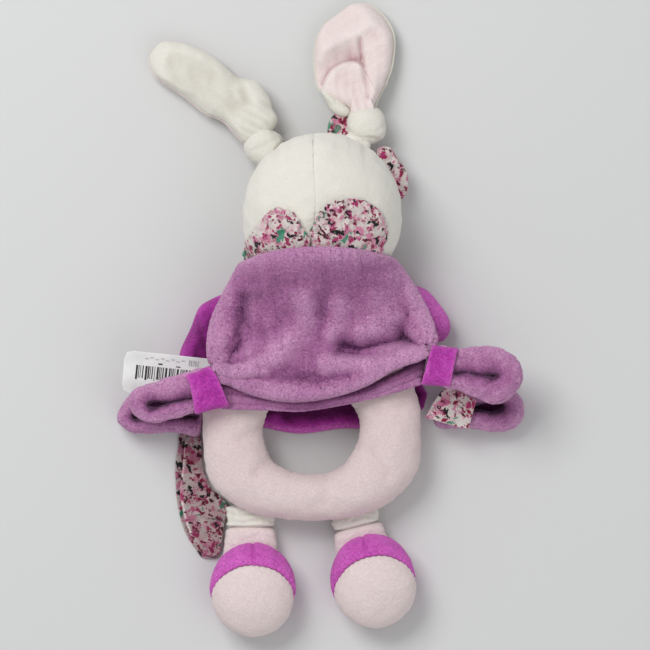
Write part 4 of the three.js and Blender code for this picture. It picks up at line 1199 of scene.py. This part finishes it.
def make_dress_front():
    """The skirt front, flat under the ring, where its hem shows through the hole."""
    low, high = box("dress_front_panel")
    v, u = grid_shares(90, 170)
    across = 2 * u - 1
    half = np.interp(v, [0, 0.3, 0.65, 0.8, 1], [0.48, 0.78, 0.93, 0.90, 0.78]) * (high[0] - low[0]) / 2
    x = (low[0] + high[0]) / 2 + across * half
    y = high[1] - v * (high[1] - low[1] - 3.5) - 3.0 * v * (1 - across ** 2) + 1.2 * v ** 4 * np.sin(x * 0.13)
    mid = np.stack([x, y, 1.8 + 0.45 * lumps_at(x, y, 12, 151)], axis=2)
    points, faces = quilt(mid, 1.5 * rounded(to_border(mid), 2.2))
    # Painted shadow of the ring on the panel's upper side, easing off towards its hem; its underside is left
    # plain.
    hidden = -0.42 + 0.80 * np.clip((v - 0.80) / 0.20, 0, 1) ** 1.5 * np.ones_like(u)
    front = piece("dress_front_cloth", points, faces, PURPLE, ["dress_front_panel"], "ring", fuzz=0.10,
                  tone_and_painted_light=np.concatenate([hidden.ravel(), np.zeros(hidden.size)]))


# ---------------------------------------------------------------- bows

def facing_places(rim, gap, window=17):
    """The place on a closed gap that faces each place on the rim round it, evened out along the rim."""
    count, fine = len(rim), len(gap)
    apart = np.hypot(rim[:, None, 0] - gap[None, :, 0], rim[:, None, 1] - gap[None, :, 1])
    nearest = np.argmin(apart, axis=1)
    even = np.arange(count) / count
    lag = (nearest / fine - even + 0.5) % 1 - 0.5
    lag = np.unwrap(lag * 2 * math.pi) / (2 * math.pi)
    wrapped = np.concatenate([lag[-window:], lag, lag[:window]])
    lag = np.convolve(wrapped, np.ones(window) / window, mode="same")[window:-window]
    return gap[np.round((even + lag) * fine).astype(int) % fine]


def make_loop(node, body, outer, slit, seed):
    """A bow loop seen on its edge: a thick strip that runs out from its band, round a narrow gap and back."""
    low, high = box(node)
    count, around = 300, 44
    rim = spline(within(node, outer), count, closed=True)
    gap = spline(within(node, slit), 600, closed=True)
    inner = facing_places(rim, gap)
    inner = inner + (inner - rim) / np.maximum(np.linalg.norm(inner - rim, axis=1), 0.1)[:, None] * 0.9
    reach = (rim - inner) / 2
    half = np.linalg.norm(reach, axis=1)[:, None]
    a = np.linspace(0, 2 * math.pi, around, endpoint=False)[None]
    tall = (high[2] - low[2]) / 2 - 0.7
    flat = ((rim + inner) / 2)[:, None] + reach[:, None] * np.cos(a)[..., None]
    from_rim = half * (1 - np.cos(a))
    groove = 0.5 * bell(from_rim - 2.4, 0.9) * (np.sin(a) > 0)
    inward = np.clip(from_rim / np.maximum(2 * half, 0.1), 0, 1)
    sag = 1.2 * inward ** 2 + 2.2 * inward ** 8
    z = (low[2] + high[2]) / 2 + signed_power(np.sin(a), 0.75) * (tall - sag) - groove
    points = np.concatenate([flat, z[..., None]], axis=2).reshape(-1, 3)
    outward = np.concatenate([(reach[:, None] * np.cos(a)[..., None] / half[:, None]),
                              np.broadcast_to(np.sin(a), flat.shape[:2])[..., None]], axis=2).reshape(-1, 3)
    uneven = 0.6 * lumps(points, 16, 161 + seed) + 0.3 * lumps(points, 6, 171 + seed)
    points = points + outward * (uneven + 0.14 * lumps(points, 2.8, 177 + seed))[:, None]
    # Painted shade inside the loop, darker towards its gap, with a little random tone.
    deep = 0.10 * lumps(points, 6, 181 + seed).reshape(flat.shape[:2]) - 0.5 * inward ** 2 - 0.6 * inward ** 8
    faces = grid_faces(count, around, wrap_rows=True, wrap_columns=True)
    strip = piece(node + "_cloth", points, faces, MAUVE, [node], body, fuzz=0.10, tone_and_painted_light=deep.ravel())
    # A dark sheet at the bottom of the gap, painted shade where the gap is deep.
    centre = gap.mean(axis=0)
    grown = centre + (gap - centre) * 1.04
    points, faces = pillow_points(outline_rings(grown, low[2] + 3.5, 12, 120, centre), 0.8, 0.8, 1.2)
    piece(node + "_shaded_inner_fold", points, faces, MAUVE, (), body, tone_and_painted_light=-0.45)


def make_band(node, left, right, seed):
    """A flat tube of bright velour, pulled tight round a loop's neck. left and right are its open ends."""
    low, high = box(node)
    around, rows, fine, half = 180, 44, 200, 13
    a = np.linspace(0, 2 * math.pi, around, endpoint=False)
    c, s = signed_power(np.cos(a), 2 / 3.4), signed_power(np.sin(a), 2 / 3.4)
    t = np.linspace(0, 1, rows)[:, None]
    inset = 1.0 * (1 - rounded(np.minimum(t, 1 - t) * half, 1.6)) + 0.5 * np.sin(math.pi * t)
    place = (1 + c * (1 - inset / half)) / 2 * (fine - 1)
    ends = [np.stack([np.interp(place, np.arange(fine), line[:, k]) for k in range(2)], axis=2)
            for line in (spline(within(node, left), fine), spline(within(node, right), fine))]
    flat = ends[0] * (1 - t[..., None]) + ends[1] * t[..., None]
    z = (low[2] + high[2]) / 2 + s * ((high[2] - low[2]) / 2 - inset)
    points = np.concatenate([flat, z[..., None]], axis=2).reshape(-1, 3)
    points[:, 2] += 0.45 * lumps(points, 7, 181 + seed)
    band = piece(node + "_velour", points, grid_faces(rows, around, wrap_columns=True), PURPLE, [node],
                 "dress_back", shell=1.3, fuzz=0.12)


def make_bows():
    make_loop("bow_back_loop_left", "dress_back",
              [(0.82, 1.04), (0.635, 1.0), (0.448, 0.919), (0.29, 0.837), (0.149, 0.756), (0.041, 0.644),
               (0.009, 0.481), (0.032, 0.319), (0.087, 0.185), (0.196, 0.074), (0.322, 0.063), (0.478, 0.144),
               (0.603, 0.211), (0.712, 0.278), (0.864, 0.37)],
              [(0.778, 0.548), (0.665, 0.522), (0.557, 0.481), (0.448, 0.463), (0.369, 0.456), (0.275, 0.47),
               (0.211, 0.40), (0.275, 0.333), (0.369, 0.374), (0.478, 0.43), (0.635, 0.489), (0.778, 0.526)],
              1)
    make_loop("bow_back_loop_right", "dress_back",
              [(0.115, 0.945), (0.322, 0.924), (0.468, 0.962), (0.637, 0.979), (0.752, 0.952), (0.864, 0.859),
               (0.954, 0.711), (0.994, 0.522), (0.987, 0.354), (0.944, 0.189), (0.864, 0.058),
               (0.752, -0.017), (0.637, -0.007), (0.524, 0.076), (0.411, 0.131), (0.322, 0.206),
               (0.157, 0.309)],
              [(0.177, 0.567), (0.286, 0.515), (0.411, 0.529), (0.57, 0.481), (0.683, 0.502), (0.739, 0.46),
               (0.683, 0.405), (0.57, 0.447), (0.411, 0.488), (0.286, 0.488), (0.177, 0.533)],
              2)
    make_loop("bow_front_loop_left", "ring",
              [(1.0, 0.979), (0.66, 1.057), (0.293, 1.083), (0.137, 1.042), (0.02, 0.74), (-0.02, 0.469),
               (0.02, 0.281), (0.144, 0.089), (0.325, 0.052), (0.594, 0.078), (0.79, 0.047), (1.0, 0.031)],
              [(0.96, 0.51), (0.66, 0.542), (0.244, 0.573), (0.171, 0.479), (0.244, 0.396), (0.66, 0.458),
               (0.96, 0.458)], 3)
    make_loop("bow_front_loop_right", "ring",
              [(0.002, 0.964), (0.389, 1.041), (0.73, 1.093), (0.916, 1.036), (0.991, 0.699), (0.984, 0.363),
               (0.905, 0.135), (0.757, 0.036), (0.57, 0.052), (0.386, 0.124), (0.002, 0.187)],
              [(0.07, 0.601), (0.32, 0.663), (0.502, 0.793), (0.684, 0.839), (0.775, 0.777), (0.77, 0.642),
               (0.695, 0.528), (0.57, 0.549), (0.411, 0.591), (0.07, 0.539)],
              4)
    make_band("bow_back_band_left", [(0.233, 0.06), (0.105, 0.562), (-0.064, 0.842)],
              [(1.256, 0.223), (1.087, 0.477), (0.872, 0.815), (0.64, 1.012)], 1)
    make_band("bow_back_band_right", [(-0.24, 0.118), (-0.097, 0.441), (0.13, 0.921)],
              [(0.714, 0.067), (0.89, 0.654), (0.994, 0.854)], 2)


# ---------------------------------------------------------------- label

def make_label():
    """A sewn-in satin label with a block of plain bars, which spell nothing."""
    low, high = box("care_label")
    tilt, length, bottom, top = -6.0, 43.5, -11.6, 10.0
    origin = (high[0] + 0.4, low[1] + 9.2)

    def height(x, y):
        along = (high[0] - x) / length
        ripples = 0.4 * np.sin(y * 0.35) + 0.25 * np.sin(x * 0.5 + y * 0.2)
        return low[2] + 0.2 + 1.3 * np.sin(along * 2.6) + ripples

    corners = [(0, bottom), (-length + 4.6, bottom), (-length + 1.6, bottom + 1.2),
               (-length + 0.3, bottom + 4.6), (-length, top - 4.6), (-length + 1.2, top - 1.0),
               (-length + 4.8, top), (0, top)]
    dense = []
    for (ax, ay), (bx, by) in zip(corners, corners[1:] + corners[:1]):
        steps = max(2, int(math.hypot(bx - ax, by - ay) / 1.5))
        dense += [(ax + (bx - ax) * i / steps, ay + (by - ay) * i / steps) for i in range(steps)]
    rings = outline_rings(turned(dense, tilt, origin), height, 30, 240)
    points, faces = pillow_points(rings, 0.45, 0.35, 0.6)
    satin = piece("care_label_satin", points, faces, SATIN, ["care_label"], "dress_back")
    bars, x = [], -length + 6.4
    widths = [0.95, 0.35, 0.3, 0.55, 1.0, 0.7, 0.35, 0.5, 0.3]
    gaps = [0.4, 0.75, 0.35, 0.55, 0.9]
    for i in range(40):
        wide = widths[i % len(widths)]
        bars.append((x, x + wide, -3.1 if i % 4 else -3.9, 3.2))
        x += wide + gaps[(i * 3) % len(gaps)]
        if x > -4:
            break
    bars += [(-26.2, -24.0, 4.4, 5.1), (-17.2, -15.0, 4.0, 4.5)]
    faint = [(-11 + 1.1 * i, -10.4 + 1.1 * i, 5.2, 8.2) for i in range(5)]
    faint += [(-33 + 2.6 * i, -31.2 + 2.6 * i, 6.6 + 0.7 * (i % 2), 7.0 + 0.7 * (i % 2)) for i in range(8)]
    for name, marks, stuff in (("care_label_bars", bars, INK), ("care_label_marks", faint, PALE_INK)):
        points, faces = [], []
        for x0, x1, y0, y1 in marks:
            steps = 2 + int((y1 - y0) / 0.7)
            cuts = [(x, y0 + (y1 - y0) * i / (steps - 1)) for x in (x0, x1) for i in range(steps)]
            for lift in (0.25, 0.62):
                faces += grid_faces(2, steps, start=len(points))
                points += [(px, py, height(px, py) + lift) for px, py in turned(cuts, tilt, origin)]
        piece(name, points, faces, stuff, (), "dress_back", passes=1)


# ---------------------------------------------------------------- floor, light and camera

def placed(name, data, place, turn=(0, 0, 0)):
    """A new object in the scene."""
    obj = bpy.data.objects.new(name, data)
    bpy.context.scene.collection.objects.link(obj)
    obj.location = place
    obj.rotation_euler = turn
    return obj


def make_studio():
    """A pale floor, soft light from a window on the upper left with a weak fill, and a camera overhead."""
    mesh = bpy.data.meshes.new("floor")
    mesh.from_pydata([(-3, -3, 0), (3, -3, 0), (3, 3, 0), (-3, 3, 0)], [], [(0, 1, 2, 3)])
    material, _, shader = new_material("floor_paper")
    shader.inputs["Base Color"].default_value = (*rgb(214, 214, 213), 1)
    shader.inputs["Roughness"].default_value = 0.9
    mesh.materials.append(material)
    placed("floor", mesh, (0, 0, -0.0003))

    scene = bpy.context.scene
    scene.world = bpy.data.worlds.new("studio")
    scene.world.use_nodes = True
    background = scene.world.node_tree.nodes["Background"]
    background.inputs["Color"].default_value = (0.96, 0.98, 1.0, 1)
    background.inputs["Strength"].default_value = 0.46
    for name, place, wide, power in (("window", (-0.55, 0.65, 1.2), 0.7, 12.0),
                                     ("fill", (0.7, -0.9, 1.2), 1.4, 5.0)):
        light = bpy.data.lights.new(name, "AREA")
        light.size = wide
        light.energy = power
        towards_object = (-Vector(place)).to_track_quat("-Z", "Y").to_euler()
        placed(name, light, place, towards_object)

    camera = bpy.data.cameras.new("camera")
    camera.lens = 340
    camera.sensor_width = 36
    frame_width = 0.325
    distance = frame_width * camera.lens / camera.sensor_width
    centre = (np.array(CAD_LOW) + np.array(CAD_HIGH)) / 2
    scene.camera = placed("camera", camera, (centre[0] + 0.00175, centre[1] - 0.00325, 0.030 + distance))
    scene.view_settings.view_transform = "Standard"


# ---------------------------------------------------------------- the object

make_studio()
make_head()
make_face()
make_collar()
make_ears()
make_ribbons()
make_bodice()
make_arms()
make_ring()
for number, name in enumerate(("left", "right")):
    make_leg(name, number)
    make_foot(name, number)
make_dress_back()
make_hem()
make_dress_front()
make_bows()
make_label()
